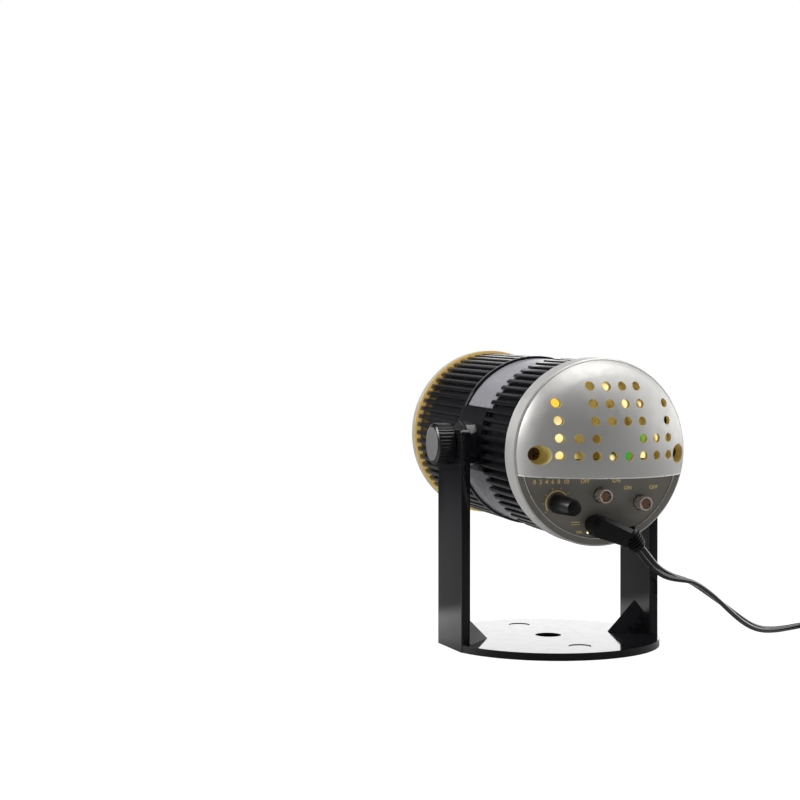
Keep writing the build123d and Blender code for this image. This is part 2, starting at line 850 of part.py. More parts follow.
well_floor = rim_station - cap_wall
outer_profile = dome_profile(0)
inner_profile = dome_profile(cap_wall)
with BuildPart() as cap_cavity:
    with BuildSketch(side_plane):
        add(inner_profile)
        with Locations((collar_front, 0)):
            Rectangle(rim_station - collar_front, collar_bore, align=(Align.MIN, Align.MIN))
    revolve(axis=head_axis)
    with BuildSketch(across(wall_front)):
        with Locations((0, shelf_top)):
            Rectangle(far, far, align=(Align.CENTER, Align.MAX))
    extrude(amount=far, mode=Mode.SUBTRACT)
    with BuildSketch(across(well_floor)):
        with Locations((well_reach, 0), (-well_reach, 0)):
            Circle(well_radius + well_wall)
    extrude(amount=far, mode=Mode.SUBTRACT)

with BuildPart() as rear_cap:
    with BuildSketch(side_plane):
        add(outer_profile)
        with BuildLine():
            Polyline(
                (collar_front + face_gap, 0),
                (collar_front + face_gap, collar_radius),
                (rim_station - shoulder, collar_radius),
                (rim_station, collar_radius - shoulder),
                (rim_station, 0),
                close=True,
            )
        make_face()
    revolve(axis=head_axis)
    with BuildSketch(across(rim_station)):
        with Locations((0, lip_height)):
            Rectangle(far, far, align=(Align.CENTER, Align.MAX))
    extrude(amount=far, mode=Mode.SUBTRACT)
    add(cap_cavity.part, mode=Mode.SUBTRACT)
    with BuildSketch(across(panel_front)):
        Circle(panel_radius + close_fit)
        with Locations((0, lip_height)):
            Rectangle(far, far, align=(Align.CENTER, Align.MAX), mode=Mode.INTERSECT)
    extrude(amount=rim_station - panel_front, mode=Mode.SUBTRACT)
    with BuildSketch(across(wall_front)):
        Circle(panel_ledge_radius)
        with Locations((0, lip_height - shelf_thickness)):
            Rectangle(far, far, align=(Align.CENTER, Align.MAX), mode=Mode.INTERSECT)
    extrude(amount=panel_front - wall_front, mode=Mode.SUBTRACT)
    with BuildSketch(across(rim_station)):
        for row, columns in enumerate(vent_rows):
            for column, mark in enumerate(columns):
                if mark == "o":
                    right = (column - (len(columns) - 1) / 2) * vent_pitch
                    up = (len(vent_rows) - 1 - row) * vent_pitch
                    with Locations((right, up)):
                        Circle(vent_radius)
    extrude(amount=far, mode=Mode.SUBTRACT)
    with BuildSketch(across(rim_station)):
        with Locations((well_reach, 0), (-well_reach, 0)):
            Circle(well_radius)
    extrude(amount=far, mode=Mode.SUBTRACT)
    with BuildSketch(across(well_floor)):
        with Locations((well_reach, 0), (-well_reach, 0)):
            Circle(cap_screw_radius + running_fit)
    extrude(amount=cap_wall, mode=Mode.SUBTRACT)
keep(rear_cap, "rear_cap")

panel_face = rim_station - panel_set_in
with BuildPart() as control_panel:
    with BuildSketch(across(panel_front)):
        Circle(panel_radius)
        with Locations((0, lip_height - close_fit - far / 2)):
            Rectangle(far, far, mode=Mode.INTERSECT)
        for place, radius in (
            (speed_place, speed_shaft_radius + speed_shaft_clearance),
            (power_place, button_hole_radius),
            (motor_place, button_hole_radius),
            (jack_place, jack_hole_radius),
            (lamp_place, lamp_radius + running_fit / 2),
        ):
            with Locations(place):
                Circle(radius, mode=Mode.SUBTRACT)
    extrude(amount=panel_thickness)
keep(control_panel, "control_panel")

with BuildPart() as cap_screws:
    with BuildSketch(across(rim_station)):
        with Locations((well_reach, 0), (-well_reach, 0)):
            Circle(cap_screw_head_radius)
    extrude(amount=cap_screw_head)
    with BuildSketch(across(rim_station)):
        with Locations((well_reach, 0), (-well_reach, 0)):
            Circle(cap_screw_radius)
    extrude(amount=-cap_screw_length)
    with BuildSketch(across(rim_station + cap_screw_head)):
        with Locations((well_reach, 0), (-well_reach, 0)):
            Rectangle(cross_slot_length, cross_slot_width)
            Rectangle(cross_slot_width, cross_slot_length)
    extrude(amount=-cross_slot_depth, mode=Mode.SUBTRACT)
keep(cap_screws, "cap_screws")

# ================================================================ control board and controls
board_rear = board_station + board_thickness
with BuildPart() as control_board:
    with BuildSketch(across(board_station)):
        Circle(board_radius)
        with Locations((0, board_top - far / 2)):
            Rectangle(far, far, mode=Mode.INTERSECT)
        tongue_foot = board_top - 2 * tongue_overlap
        with Locations(((tongue_left + tongue_right) / 2, (tongue_top + tongue_foot) / 2)):
            Rectangle(tongue_right - tongue_left, tongue_top - tongue_foot)
        for angle in board_lug_angles:
            with PolarLocations(lug_circle, 1, angle):
                Circle(screw_radius + stud_clearance, mode=Mode.SUBTRACT)
    extrude(amount=board_thickness)
keep(control_board, "control_board")
keep(screws(board_rear, -1, lug_circle, board_lug_angles), "board_screws")

with BuildPart() as speed_potentiometer:
    with BuildSketch(across(board_rear)):
        with Locations(speed_place):
            Circle(pot_radius)
    extrude(amount=pot_length)
    with BuildSketch(across(board_rear + pot_length)):
        with Locations(speed_place):
            Circle(pot_bushing_radius)
    extrude(amount=pot_bushing_length)
    with BuildSketch(across(board_rear + pot_length / 2)):
        with Locations(speed_place):
            Circle(speed_shaft_radius + running_fit)
    extrude(amount=far, mode=Mode.SUBTRACT)
keep(speed_potentiometer, "speed_potentiometer")

knob_base = panel_face + speed_knob_gap
shaft_end = knob_base + speed_knob_length - speed_knob_end_wall
with BuildPart() as speed_shaft:
    with BuildSketch(across(board_rear + pot_length / 2 + face_gap)):
        with Locations(speed_place):
            Circle(speed_shaft_radius)
    extrude(amount=shaft_end - board_rear - pot_length / 2 - face_gap)
keep(speed_shaft, "speed_shaft")

with BuildPart() as speed_knob:
    with BuildSketch(across(knob_base)):
        with Locations(speed_place):
            Circle(speed_knob_base_radius)
    with BuildSketch(across(knob_base + speed_knob_length)):
        with Locations(speed_place):
            Circle(speed_knob_end_radius)
    loft()
    with BuildSketch(across(knob_base)):
        with Locations(speed_place):
            Circle(speed_shaft_radius + stud_clearance)
    extrude(amount=shaft_end + face_gap - knob_base, mode=Mode.SUBTRACT)
keep(speed_knob, "speed_knob")

plunger_bore_foot = panel_face - button_skirt - plunger_length - button_travel - plunger_gap
for name, place in (("power", power_place), ("motor", motor_place)):
    with BuildPart() as button_switch:
        with BuildSketch(across(board_rear)):
            with Locations(place):
                Rectangle(switch_side, switch_side)
        extrude(amount=switch_height)
        with BuildSketch(across(plunger_bore_foot)):
            with Locations(place):
                Circle(plunger_radius + running_fit)
        extrude(amount=switch_height, mode=Mode.SUBTRACT)
    keep(button_switch, f"{name}_switch")
    button_end = panel_face + button_stand
    with BuildPart() as button:
        with BuildSketch(across(panel_face - button_skirt)):
            with Locations(place):
                Circle(button_radius)
        extrude(amount=button_stand + button_skirt)
        with BuildSketch(across(panel_face - button_skirt)):
            with Locations(place):
                Circle(plunger_radius)
        extrude(amount=-plunger_length)
        with BuildSketch(across(button_end)):
            with Locations(place):
                Circle(button_radius - button_rim)
        extrude(amount=-button_dish, taper=45, mode=Mode.SUBTRACT)
    keep(button, f"{name}_button")

jack_rear = panel_front - face_gap
with BuildPart() as dc_jack:
    with BuildSketch(across(board_rear)):
        with Locations(jack_place):
            Circle(jack_radius)
    extrude(amount=jack_rear - board_rear)
    with BuildSketch(across(board_rear + jack_floor)):
        with Locations(jack_place):
            Circle(jack_bore)
            Circle(jack_pin_radius, mode=Mode.SUBTRACT)
    extrude(amount=far, mode=Mode.SUBTRACT)
keep(dc_jack, "dc_jack")

with BuildPart() as power_lamp:
    with BuildSketch(across(panel_front - lamp_flange)):
        with Locations(lamp_place):
            Circle(lamp_flange_radius)
    extrude(amount=lamp_flange)
    with BuildSketch(across(panel_front)):
        with Locations(lamp_place):
            Circle(lamp_radius)
    extrude(amount=panel_thickness - face_gap)
keep(power_lamp, "power_lamp")

# ================================================================ DC plug, cord, coil and wall adapter
plug_centre = across(plug_station).from_local_coords(Vector(*jack_place, 0))
plug_plane = Plane(origin=plug_centre, x_dir=(1, 0, 0), z_dir=rearward)
plug_way = Vector(cos(radians(plug_turn)), sin(radians(plug_turn)))
collar_start = panel_face + plug_gap
body_start = plug_station - plug_height / 2
with BuildPart() as dc_plug:
    with BuildSketch(plug_plane.offset(-plug_height / 2)):
        Circle(plug_head_radius)
        with BuildLine():
            side_step = Vector(-plug_way.Y, plug_way.X)
            Polyline(
                side_step * plug_head_radius,
                plug_way * plug_length + side_step * plug_end_half,
                plug_way * plug_length - side_step * plug_end_half,
                side_step * -plug_head_radius,
                close=True,
            )
        make_face()
    extrude(amount=plug_height)
    plug_rims = dc_plug.faces().filter_by(Plane(origin=(0, 0, 0), z_dir=rearward)).edges()
    chamfer(plug_rims, plug_edge)
    with BuildSketch(plug_plane.offset(collar_start - plug_station)):
        Circle(plug_collar_radius)
    extrude(amount=body_start - collar_start + part_overlap)
    with BuildSketch(plug_plane.offset(collar_start - plug_station)):
        Circle(sleeve_tip_radius)
    extrude(amount=plug_socket, mode=Mode.SUBTRACT)
keep(dc_plug, "dc_plug")

sleeve_front = board_rear + sleeve_clearance
with BuildPart() as plug_sleeve:
    with BuildSketch(across(sleeve_front)):
        with Locations(jack_place):
            Circle(sleeve_tip_radius)
            Circle(sleeve_tip_bore, mode=Mode.SUBTRACT)
    extrude(amount=collar_start + plug_socket - sleeve_front)
keep(plug_sleeve, "plug_sleeve")

# The strain relief leaves the plug's end and droops towards the lead.
relief_steps = 3
relief_place = plug_way * plug_length
relief_sections = []
for step in range(relief_steps + 1):
    turn = radians(plug_turn + relief_droop * step / relief_steps)
    if step:
        relief_place += Vector(cos(turn), sin(turn)) * (relief_length / relief_steps)
    radius = relief_start_radius + (relief_end_radius - relief_start_radius) * step / relief_steps
    relief_sections.append((relief_place, turn, radius))
with BuildPart() as plug_strain_relief:
    for place, turn, radius in relief_sections:
        way = plug_plane.x_dir * cos(turn) + plug_plane.y_dir * sin(turn)
        with BuildSketch(Plane(origin=plug_plane.from_local_coords(place), z_dir=way)):
            Circle(radius)
    loft(ruled=True)
keep(plug_strain_relief, "plug_strain_relief")
cord_start = plug_plane.from_local_coords(relief_sections[-1][0])
cord_way = way

# The lead: down from the plug in an S, then to the surface and away to its coil.
cord_route = [
    (26.6, -62.0, 42.6),
    (33.0, -60.4, 39.0),
    (41.0, -57.0, 36.8),
    (51.0, -51.6, 34.6),
    (62.5, -44.4, 29.2),
    (74.5, -37.4, 22.4),
    (86.0, -31.2, 15.4),
    (97.5, -25.4, 8.6),
    (109.0, -19.2, 3.9),
    (122.0, -12.4, 2.5),
    (136.0, -6.6, 2.5),
    (145.5, -2.2, 2.5),
    (152.3, 0.2, 2.5),
]


def tube_along(start, route):
    """A round tube along straight runs with tangent arcs, and the radii of its bends."""
    points = [start] + [Vector(*point) for point in route]
    radii = []
    for before, corner, after in zip(points, points[1:], points[2:]):
        half_turn = radians((corner - before).get_angle(after - corner)) / 2
        shorter = min((corner - before).length, (after - corner).length)
        radii.append(bend_share * shorter / tan(half_turn))
    with BuildPart() as tube:
        with BuildLine() as path:
            FilletPolyline(*points, radius=radii)
        with BuildSketch(Plane(origin=path.line @ 0, z_dir=path.line % 0)):
            Circle(cord_radius)
        sweep()
    return tube, path.wire().length, radii


first_point = cord_start + cord_way * first_run
lead, lead_length, lead_radii = tube_along(cord_start, [first_point] + cord_route)
keep(lead, "dc_cord")

with BuildPart() as cord_coil:
    with BuildSketch(Plane.XY):
        with Locations(coil_centre):
            Circle(coil_outer)
            Circle(coil_inner, mode=Mode.SUBTRACT)
    extrude(amount=coil_height)
keep(cord_coil, "dc_cord_coil")

leave = Vector(cos(radians(tail_angle)), sin(radians(tail_angle)))
heading = Vector(leave.Y, -leave.X)
tail_start = Vector(*coil_centre, tail_height) + leave * tail_turn_radius + heading * tail_clear
tail_end = tail_start + heading * tail_length
with BuildPart() as tail:
    with BuildSketch(Plane(origin=tail_start, z_dir=heading)):
        Circle(cord_radius)
    extrude(amount=tail_length)
keep(tail, "dc_cord_tail")

relief_end = tail_end + heading * adapter_relief_length
adapter_face = Plane(origin=(relief_end.X, relief_end.Y, 0), x_dir=heading, z_dir=(0, 0, 1))
with BuildPart() as adapter_relief:
    with BuildSketch(Plane(origin=tail_end, z_dir=heading)):
        Circle(relief_end_radius)
    with BuildSketch(Plane(origin=relief_end, z_dir=heading)):
        Circle(adapter_relief_radius)
    loft()
keep(adapter_relief, "adapter_strain_relief")

with BuildPart() as adapter_case:
    with BuildSketch(adapter_face):
        with Locations((adapter_length / 2, 0)):
            RectangleRounded(adapter_length, adapter_width, adapter_edge)
    extrude(amount=adapter_height)
    chamfer(adapter_case.faces().sort_by(Axis.Z)[-1].edges(), adapter_rim)
keep(adapter_case, "adapter_case")

pin_foot = adapter_face.from_local_coords((adapter_length, 0, adapter_height / 2))
pin_plane = Plane(origin=pin_foot, x_dir=(0, 0, 1), z_dir=heading)
with BuildPart() as adapter_pins:
    with BuildSketch(pin_plane):
        with GridLocations(0, pin_spacing, 1, 2):
            Rectangle(pin_width, pin_thickness)
    extrude(amount=pin_length)
keep(adapter_pins, "adapter_pins")

print("lead", round(lead_length, 1), "mm, from", cord_start, "by", first_point)
print("bend radii", [round(radius, 1) for radius in lead_radii])
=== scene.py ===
"""The planetarium projector's finish: its surfaces, prints, lead and light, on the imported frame."""

import json
import math

import bmesh
import bpy
from mathutils import Matrix, Vector

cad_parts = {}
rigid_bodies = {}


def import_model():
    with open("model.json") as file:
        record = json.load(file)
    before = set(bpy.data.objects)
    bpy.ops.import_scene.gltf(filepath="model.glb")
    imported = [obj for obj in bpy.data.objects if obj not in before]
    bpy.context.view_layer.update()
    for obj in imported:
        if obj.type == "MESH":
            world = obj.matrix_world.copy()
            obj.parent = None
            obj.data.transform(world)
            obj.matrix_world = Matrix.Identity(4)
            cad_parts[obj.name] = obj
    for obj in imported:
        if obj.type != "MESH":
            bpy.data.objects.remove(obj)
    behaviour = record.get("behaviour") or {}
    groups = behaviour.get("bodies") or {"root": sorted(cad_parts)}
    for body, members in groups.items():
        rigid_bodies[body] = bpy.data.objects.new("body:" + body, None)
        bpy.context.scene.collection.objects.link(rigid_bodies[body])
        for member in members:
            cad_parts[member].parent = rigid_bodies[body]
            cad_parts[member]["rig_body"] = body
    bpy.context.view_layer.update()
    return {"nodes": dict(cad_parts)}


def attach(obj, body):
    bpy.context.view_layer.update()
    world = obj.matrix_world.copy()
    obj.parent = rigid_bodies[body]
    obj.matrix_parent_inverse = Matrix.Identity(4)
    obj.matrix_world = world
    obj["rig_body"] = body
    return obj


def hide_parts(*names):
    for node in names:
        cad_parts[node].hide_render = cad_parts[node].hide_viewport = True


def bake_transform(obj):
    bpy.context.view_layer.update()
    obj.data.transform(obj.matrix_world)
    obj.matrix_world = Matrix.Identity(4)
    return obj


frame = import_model()
mm = 0.001


# ---------------------------------------------------------------- camera
# A long lens at the height of the head, behind the projector and a little to its left. The Standard view
# shows colours as they are set.
def add_object(name, data, *finishes):
    """A new object at the origin with its finishes."""
    piece = bpy.data.objects.new(name, data)
    bpy.context.scene.collection.objects.link(piece)
    for finish in finishes:
        data.materials.append(finish.material)
    return piece


camera = add_object("camera", bpy.data.cameras.new("camera"))
camera.location = (-0.32422, -0.69958, 0.12510)
camera.rotation_euler = (math.radians(89.716), 0, math.radians(-19.333))
camera.data.sensor_width = 36
camera.data.lens = 68.93
bpy.context.scene.camera = camera
bpy.context.scene.view_settings.view_transform = "Standard"

# ---------------------------------------------------------------- lead
# A flat twin lead of soft black PVC, moulded to its plug's strain relief. It sags from the plug, runs along
# the table and lies in a neat coil; its other end is moulded to the wall adapter.
cord_width = 4.9
cord_thickness = 2.4
lead_route = [
    (17.9641, -62.7328, 52.0545),
    (22.2028, -62.492, 47.1326),
    (26.6, -62.0, 42.6),
    (33.0, -60.4, 39.0),
    (41.0, -57.0, 36.8),
    (51.0, -51.6, 34.6),
    (62.5, -44.4, 29.2),
    (74.5, -37.4, 22.4),
    (86.0, -31.2, 15.4),
    (97.5, -25.4, 8.6),
    (109.0, -19.2, 3.9),
    (122.0, -12.4, 1.6),
    (136.0, -6.6, 1.3),
    (145.5, -2.2, 1.3),
    (152.3, 0.2, 1.3),
]
lead_twist = [90, 90, 84, 66, 30, 8, 4, 20, 52, 60, 40, 12, 0, 0, 0]
coil_centre = Vector((178.0, -22.0, 0.0))
coil_start = 109.5
coil_leave = -55.0
coil_whole_turns = 7
steps_to_a_turn = 16
column_radii = (30.0, 25.0, 25.0, 30.0, 30.0, 25.0, 25.0, 30.0)
layer_height = 2.45
floor_gap = 0.05
change_over = 60.0
tail_points = [(179.0, -57.9, 8.3), (171.0, -63.5, 7.9), (162.93, -69.17, 7.8)]
# the drawn curve runs inside its points, so the coil's points stand a little further out
chord_gain = 4 / (3 + math.cos(math.tau / steps_to_a_turn))


def coil_place(travel):
    """The place in the coil after a travel in degrees: turns lie side by side and in layers."""
    turn = int(travel // 360)
    share = max(0.0, (travel % 360 - 360 + change_over) / change_over)
    share = share * share * (3 - 2 * share)
    after = min(turn + 1, len(column_radii) - 1)
    radius = column_radii[turn] + (column_radii[after] - column_radii[turn]) * share
    layer = turn // 2 + (after // 2 - turn // 2) * share
    height = floor_gap + cord_thickness / 2 + layer * layer_height
    angle = math.radians(coil_start - travel)
    outwards = Vector((math.cos(angle), math.sin(angle), 0)) * radius * chord_gain
    return coil_centre + outwards + Vector((0, 0, height))


coil_travel = 360 * coil_whole_turns + coil_start - coil_leave
coil_steps = round(coil_travel / 360 * steps_to_a_turn)
coil_points = [coil_place(coil_travel * step / coil_steps) for step in range(coil_steps + 1)]

# the section is a figure of eight: two round lobes side by side
lobe_steps = 12
lobe_sweep = 300
lobe_radius = cord_thickness / 2
lobe_reach = cord_width / 2 - lobe_radius
lobes = []
for side in (1, -1):
    for step in range(lobe_steps + 1):
        angle = math.radians(90 * side - 90) + math.radians(lobe_sweep * (step / lobe_steps - 0.5))
        lobes.append((side * lobe_reach + lobe_radius * math.cos(angle), lobe_radius * math.sin(angle)))
section = bpy.data.curves.new("lead_section", "CURVE")
section.dimensions = "2D"
spline = section.splines.new("POLY")
spline.points.add(len(lobes) - 1)
for point, (across, up) in zip(spline.points, lobes):
    point.co = (across * mm, up * mm, 0, 1)
spline.use_cyclic_u = True
lead_section = add_object("lead_section", section)

lead_crease = math.radians(40)
lead_curve = bpy.data.curves.new("dc_lead", "CURVE")
lead_curve.dimensions = "3D"
lead_curve.twist_mode = "Z_UP"
lead_curve.resolution_u = 6
lead_points = [Vector(point) for point in lead_route] + coil_points + [Vector(point) for point in tail_points]
twists = lead_twist + [0] * (len(lead_points) - len(lead_twist))
spline = lead_curve.splines.new("NURBS")
spline.points.add(len(lead_points) - 1)
for point, place, twist in zip(spline.points, lead_points, twists):
    point.co = (*(place * mm), 1)
    point.tilt = math.radians(twist)
spline.order_u = 3
spline.use_endpoint_u = True

# the bare curve gives the centre line, and with its section it gives the lead's skin
drawn = add_object("drawn", lead_curve)
centre_line = [tuple(vertex.co) for vertex in bpy.data.meshes.new_from_object(drawn).vertices]
lead_curve.bevel_mode = "OBJECT"
lead_curve.bevel_object = lead_section
lead_curve.use_fill_caps = True
lead_mesh = bpy.data.meshes.new_from_object(drawn.evaluated_get(bpy.context.evaluated_depsgraph_get()))
lead_mesh.name = "dc_lead"
lead_mesh.shade_smooth()
lead_mesh.set_sharp_from_angle(angle=lead_crease)
bpy.data.objects.remove(drawn)
bpy.data.objects.remove(lead_section)


class Number:
    """A socket in a node tree. Python's operators on it add Math nodes."""

    def __init__(self, graph, socket):
        self.graph = graph
        self.socket = socket

    def math(self, operation, *values):
        return self.graph.node("ShaderNodeMath", {"operation": operation}, dict(enumerate(values)))

    def __add__(self, other):
        return self.math("ADD", self, other)

    def __mul__(self, other):
        return self.math("MULTIPLY", self, other)

    def __sub__(self, other):
        return self.math("SUBTRACT", self, other)

    def __rsub__(self, other):
        return self.math("SUBTRACT", other, self)

    __radd__ = __add__
    __rmul__ = __mul__

    def ramp(self, start, end, low=0.0, high=1.0):
        """A value that runs smoothly from low to high as this one runs from start to end."""
        values = {"Value": self, "From Min": start, "From Max": end, "To Min": low, "To Max": high}
        return self.graph.node("ShaderNodeMapRange", {"interpolation_type": "SMOOTHSTEP"}, values)


class Graph:
    """A node tree and its one way of adding a node: type, settings, and socket values or links."""

    def __init__(self, tree):
        self.tree = tree

    def node(self, kind, settings, values, output=0):
        made = self.tree.nodes.new(kind)
        for name, value in settings.items():
            setattr(made, name, value)
        for name, value in values.items():
            if isinstance(value, Number):
                self.tree.links.new(value.socket, made.inputs[name])
            else:
                made.inputs[name].default_value = value
        return None if output is None else Number(self, made.outputs[output])

    def facing(self, vector, direction):
        """How far a vector lies along a direction."""
        values = {0: vector, 1: Vector(direction).normalized()}
        return self.node("ShaderNodeVectorMath", {"operation": "DOT_PRODUCT"}, values, "Value")


class Finish(Graph):
    """One material: a Principled shader with plain values, and the nodes that feed it."""

    def __init__(self, name, colour, roughness, **plain):
        self.material = bpy.data.materials.new(name)
        self.material.use_nodes = True
        super().__init__(self.material.node_tree)
        self.shader = self.tree.nodes["Principled BSDF"]
        self.shader.inputs["Base Color"].default_value = (*colour, 1)
        self.shader.inputs["Roughness"].default_value = roughness
        self.material.diffuse_color = (*colour, 1)
        for socket, value in plain.items():
            self.shader.inputs[socket.replace("_", " ").title().replace("Ior", "IOR")].default_value = value

    def feed(self, socket, value):
        self.tree.links.new(value.socket, self.shader.inputs[socket])

    def place(self):
        return self.node("ShaderNodeTexCoord", {}, {}, "Object")

    def noise(self, scale, detail=3.0, stretch=None):
        """Fractal noise over the object's own coordinates; scale is in cells to the metre."""
        place = self.place()
        if stretch:
            place = self.node("ShaderNodeMapping", {}, {"Vector": place, "Scale": stretch})
        return self.node("ShaderNodeTexNoise", {}, {"Vector": place, "Scale": scale, "Detail": detail}, "Fac")

    def rough(self, low, high, scale, detail=3.0, stretch=None):
        """Roughness that wanders between two values over the surface."""
        self.feed("Roughness", self.noise(scale, detail, stretch).ramp(0.3, 0.7, low, high))

    def bump(self, distance, strength, scale, detail=3.0):
        """Raises the surface by noise, up to a distance in metres."""
        values = {"Strength": strength, "Distance": distance, "Height": self.noise(scale, detail)}
        self.feed("Normal", self.node("ShaderNodeBump", {}, values))

    def mixed(self, share, first, second):
        """A colour between two colours, the first of which may be mixed itself."""
        first = first if isinstance(first, Number) else (*first, 1)
        return self.node("ShaderNodeMix", {"data_type": "RGBA"}, {0: share, 6: first, 7: (*second, 1)}, 2)


black_pvc = Finish("black_pvc", (0.012, 0.012, 0.013), 0.2, specular_ior_level=0.7)
black_pvc.rough(0.14, 0.24, 300, 2)
dc_lead = add_object("dc_lead", lead_mesh, black_pvc)
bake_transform(dc_lead)
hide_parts("dc_cord", "dc_cord_coil", "dc_cord_tail")

# ---------------------------------------------------------------- studio
# A white table and surround with a darker side behind the camera, as in a light tent with its front open.
# Three soft lights stand above it and at its sides.
table_half = 6.0
table_white = (0.86, 0.86, 0.86)
table_dark = (0.16, 0.16, 0.16)
table_corners = [(table_half * x, table_half * y, 0) for x, y in ((-1, -1), (1, -1), (1, 1), (-1, 1))]
table_mesh = bpy.data.meshes.new("table")
table_mesh.from_pydata(table_corners, [], [(0, 1, 2, 3)])
white_table = Finish("white_table", table_white, 0.6)
table = add_object("table", table_mesh, white_table)
# gloss sees the table white only under and close behind the stand, as if black cards lay round it
mirrored = white_table.node("ShaderNodeLightPath", {}, {}, "Is Glossy Ray")
behind = white_table.facing(white_table.place(), (0, 1, 0))
carded = 1.0 - behind.ramp(-0.06, 0.04) * behind.ramp(0.09, 0.15, 1.0, 0.0)
white_table.feed("Base Color", white_table.mixed(mirrored * carded, table_white, table_dark))
# the camera sees it mostly as a white glow, which still takes a little of the shadow
seen = white_table.node("ShaderNodeLightPath", {}, {}, "Is Camera Ray")
seen = seen.math("MAXIMUM", seen, white_table.node("ShaderNodeLightPath", {}, {}, "Is Transmission Ray"))
backdrop_share = 0.86
lit_table = Number(white_table, white_table.shader.outputs[0])
glow = white_table.node("ShaderNodeEmission", {}, {"Strength": 1.15})
surface = white_table.node("ShaderNodeMixShader", {}, {0: seen * backdrop_share, 1: lit_table, 2: glow})
white_table.tree.links.new(surface.socket, white_table.tree.nodes["Material Output"].inputs["Surface"])

world = bpy.data.worlds.new("light_tent")
bpy.context.scene.world = world
world.use_nodes = True
world.node_tree.nodes.clear()
tent = Graph(world.node_tree)
way = tent.node("ShaderNodeTexCoord", {}, {}, "Generated")
bright_back = tent.facing(way, (0.42, 0.90, 0.05)).ramp(0.2, 0.9, 0.55, 2.1)
open_front = tent.facing(way, (-0.40, -0.90, -0.15)).ramp(0.1, 0.8, 1.0, 0.14)
dark_board = tent.facing(way, (-0.46, 0.88, 0.0)).ramp(0.79, 0.88, 1.0, 0.06)
dark_ceiling = tent.facing(way, (0, 0, 1)).ramp(0.14, 0.36, 1.0, 0.12)
light = bright_back * open_front * dark_board * dark_ceiling
backdrop = tent.node("ShaderNodeLightPath", {}, {}, "Is Camera Ray")
strength = tent.node("ShaderNodeMix", {}, {0: backdrop, 2: light, 3: 1.0})
lit = tent.node("ShaderNodeBackground", {}, {"Color": (1, 1, 1, 1), "Strength": strength})
tent.node("ShaderNodeOutputWorld", {}, {"Surface": lit}, None)


def softbox(name, place, target, size, power):
    """A square soft light that faces a target."""
    lamp = add_object(name, bpy.data.lights.new(name, "AREA"))
    lamp.data.size = size
    lamp.data.energy = power
    lamp.location = place
    lamp.rotation_euler = (Vector(target) - Vector(place)).to_track_quat("-Z", "Y").to_euler()


softbox("top_light", (0.15, -0.05, 1.0), (0, 0, 0.05), 0.9, 8.5)
softbox("left_light", (-0.95, 0.45, 0.65), (0, 0, 0.08), 0.6, 10)
softbox("right_light", (1.0, -0.1, 0.6), (0, 0, 0.08), 1.1, 5.5)

# ---------------------------------------------------------------- stand
# One moulding in glossy black ABS: a round foot, two arms and a gusset inside each. Its edges are slightly
# soft, and the head hangs between its arms.
skin_crease = math.radians(32)
weld = 2e-6
flat = math.radians(0.2)


def skin(node, name, finishes, bevel=0.0, choose=None):
    """A piece in place of a CAD node: its faces joined, smoothed between creases and given their finishes.
    bevel rounds its edges, by a width in millimetres. choose picks a face's finish from its centre."""
    source = frame["nodes"][node]
    mesh = source.data.copy()
    mesh.name = name
    mesh.materials.clear()
    work = bmesh.new()
    work.from_mesh(mesh)
    bmesh.ops.remove_doubles(work, verts=work.verts, dist=weld)
    work.normal_update()
    if choose:
        for face in work.faces:
            face.material_index = choose(face.calc_center_median())
    bmesh.ops.dissolve_limit(work, angle_limit=flat, verts=work.verts, edges=work.edges, delimit={"MATERIAL"})
    work.to_mesh(mesh)
    work.free()
    if "custom_normal" in mesh.attributes:
        mesh.attributes.remove(mesh.attributes["custom_normal"])
    mesh.shade_smooth()
    mesh.set_sharp_from_angle(angle=skin_crease)
    piece = add_object(name, mesh, *finishes)
    if bevel:
        edges = piece.modifiers.new("soft_edges", "BEVEL")
        edges.width = bevel * mm
        edges.segments = 2
        edges.limit_method = "ANGLE"
        edges.angle_limit = skin_crease
        edges.harden_normals = True
    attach(piece, source["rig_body"])
    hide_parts(node)
    return piece


black_abs = Finish("black_abs", (0.008, 0.008, 0.010), 0.08)
black_abs.rough(0.05, 0.12, 200, 2)
black_abs.bump(0.00006, 0.12, 45, 2)
skin("stand_bracket", "stand", [black_abs], bevel=0.25)

# ---------------------------------------------------------------- barrel
# The head's black body: a moulded tube with sixty ribs before and behind the silver band, round-nosed where
# they lap over it, a flat pad and a boss at each pivot. Sizes are in the head's own millimetres: right, up
# and station, which runs backwards along its axis from the pivot.
tilt = math.radians(2.8)
pivot_height = 100.0
head = Matrix(
    (
        (1, 0, 0, 0),
        (0, -math.sin(tilt), -math.cos(tilt), 0),
        (0, math.cos(tilt), -math.sin(tilt), pivot_height),
        (0, 0, 0, 1),
    )
)
scale_to_metres = Matrix.Scale(mm, 4)
bezel_rear = -75.4
plain_ring = (-17.1, -14.7)
lit_from = 8.0
finger_tip = 13.0
channel_rear = 16.0
collar_front = 47.3
barrel_end = 53.0
barrel_bore = 38.2
rib_foot = 40.3
barrel_root = 40.6
band_top = 41.8
rib_tip = 42.8
ring_radius = 42.95
ring_round = 0.4
rib_count = 60
rib_half = 1.15
rib_round = 0.3
rib_lap = 0.2
collar_lap = 0.05
nose_steps = 6
nose_half = 0.25
nose_drop = 0.5
shading_crease = math.radians(35)
same_place = 1e-5


def shape_of(work):
    """A mesh from a work mesh, its faces turned outwards and smooth."""
    bmesh.ops.recalc_face_normals(work, faces=work.faces)
    mesh = bpy.data.meshes.new("shape")
    work.to_mesh(mesh)
    work.free()
    mesh.shade_smooth()
    mesh.set_sharp_from_angle(angle=shading_crease)
    return mesh


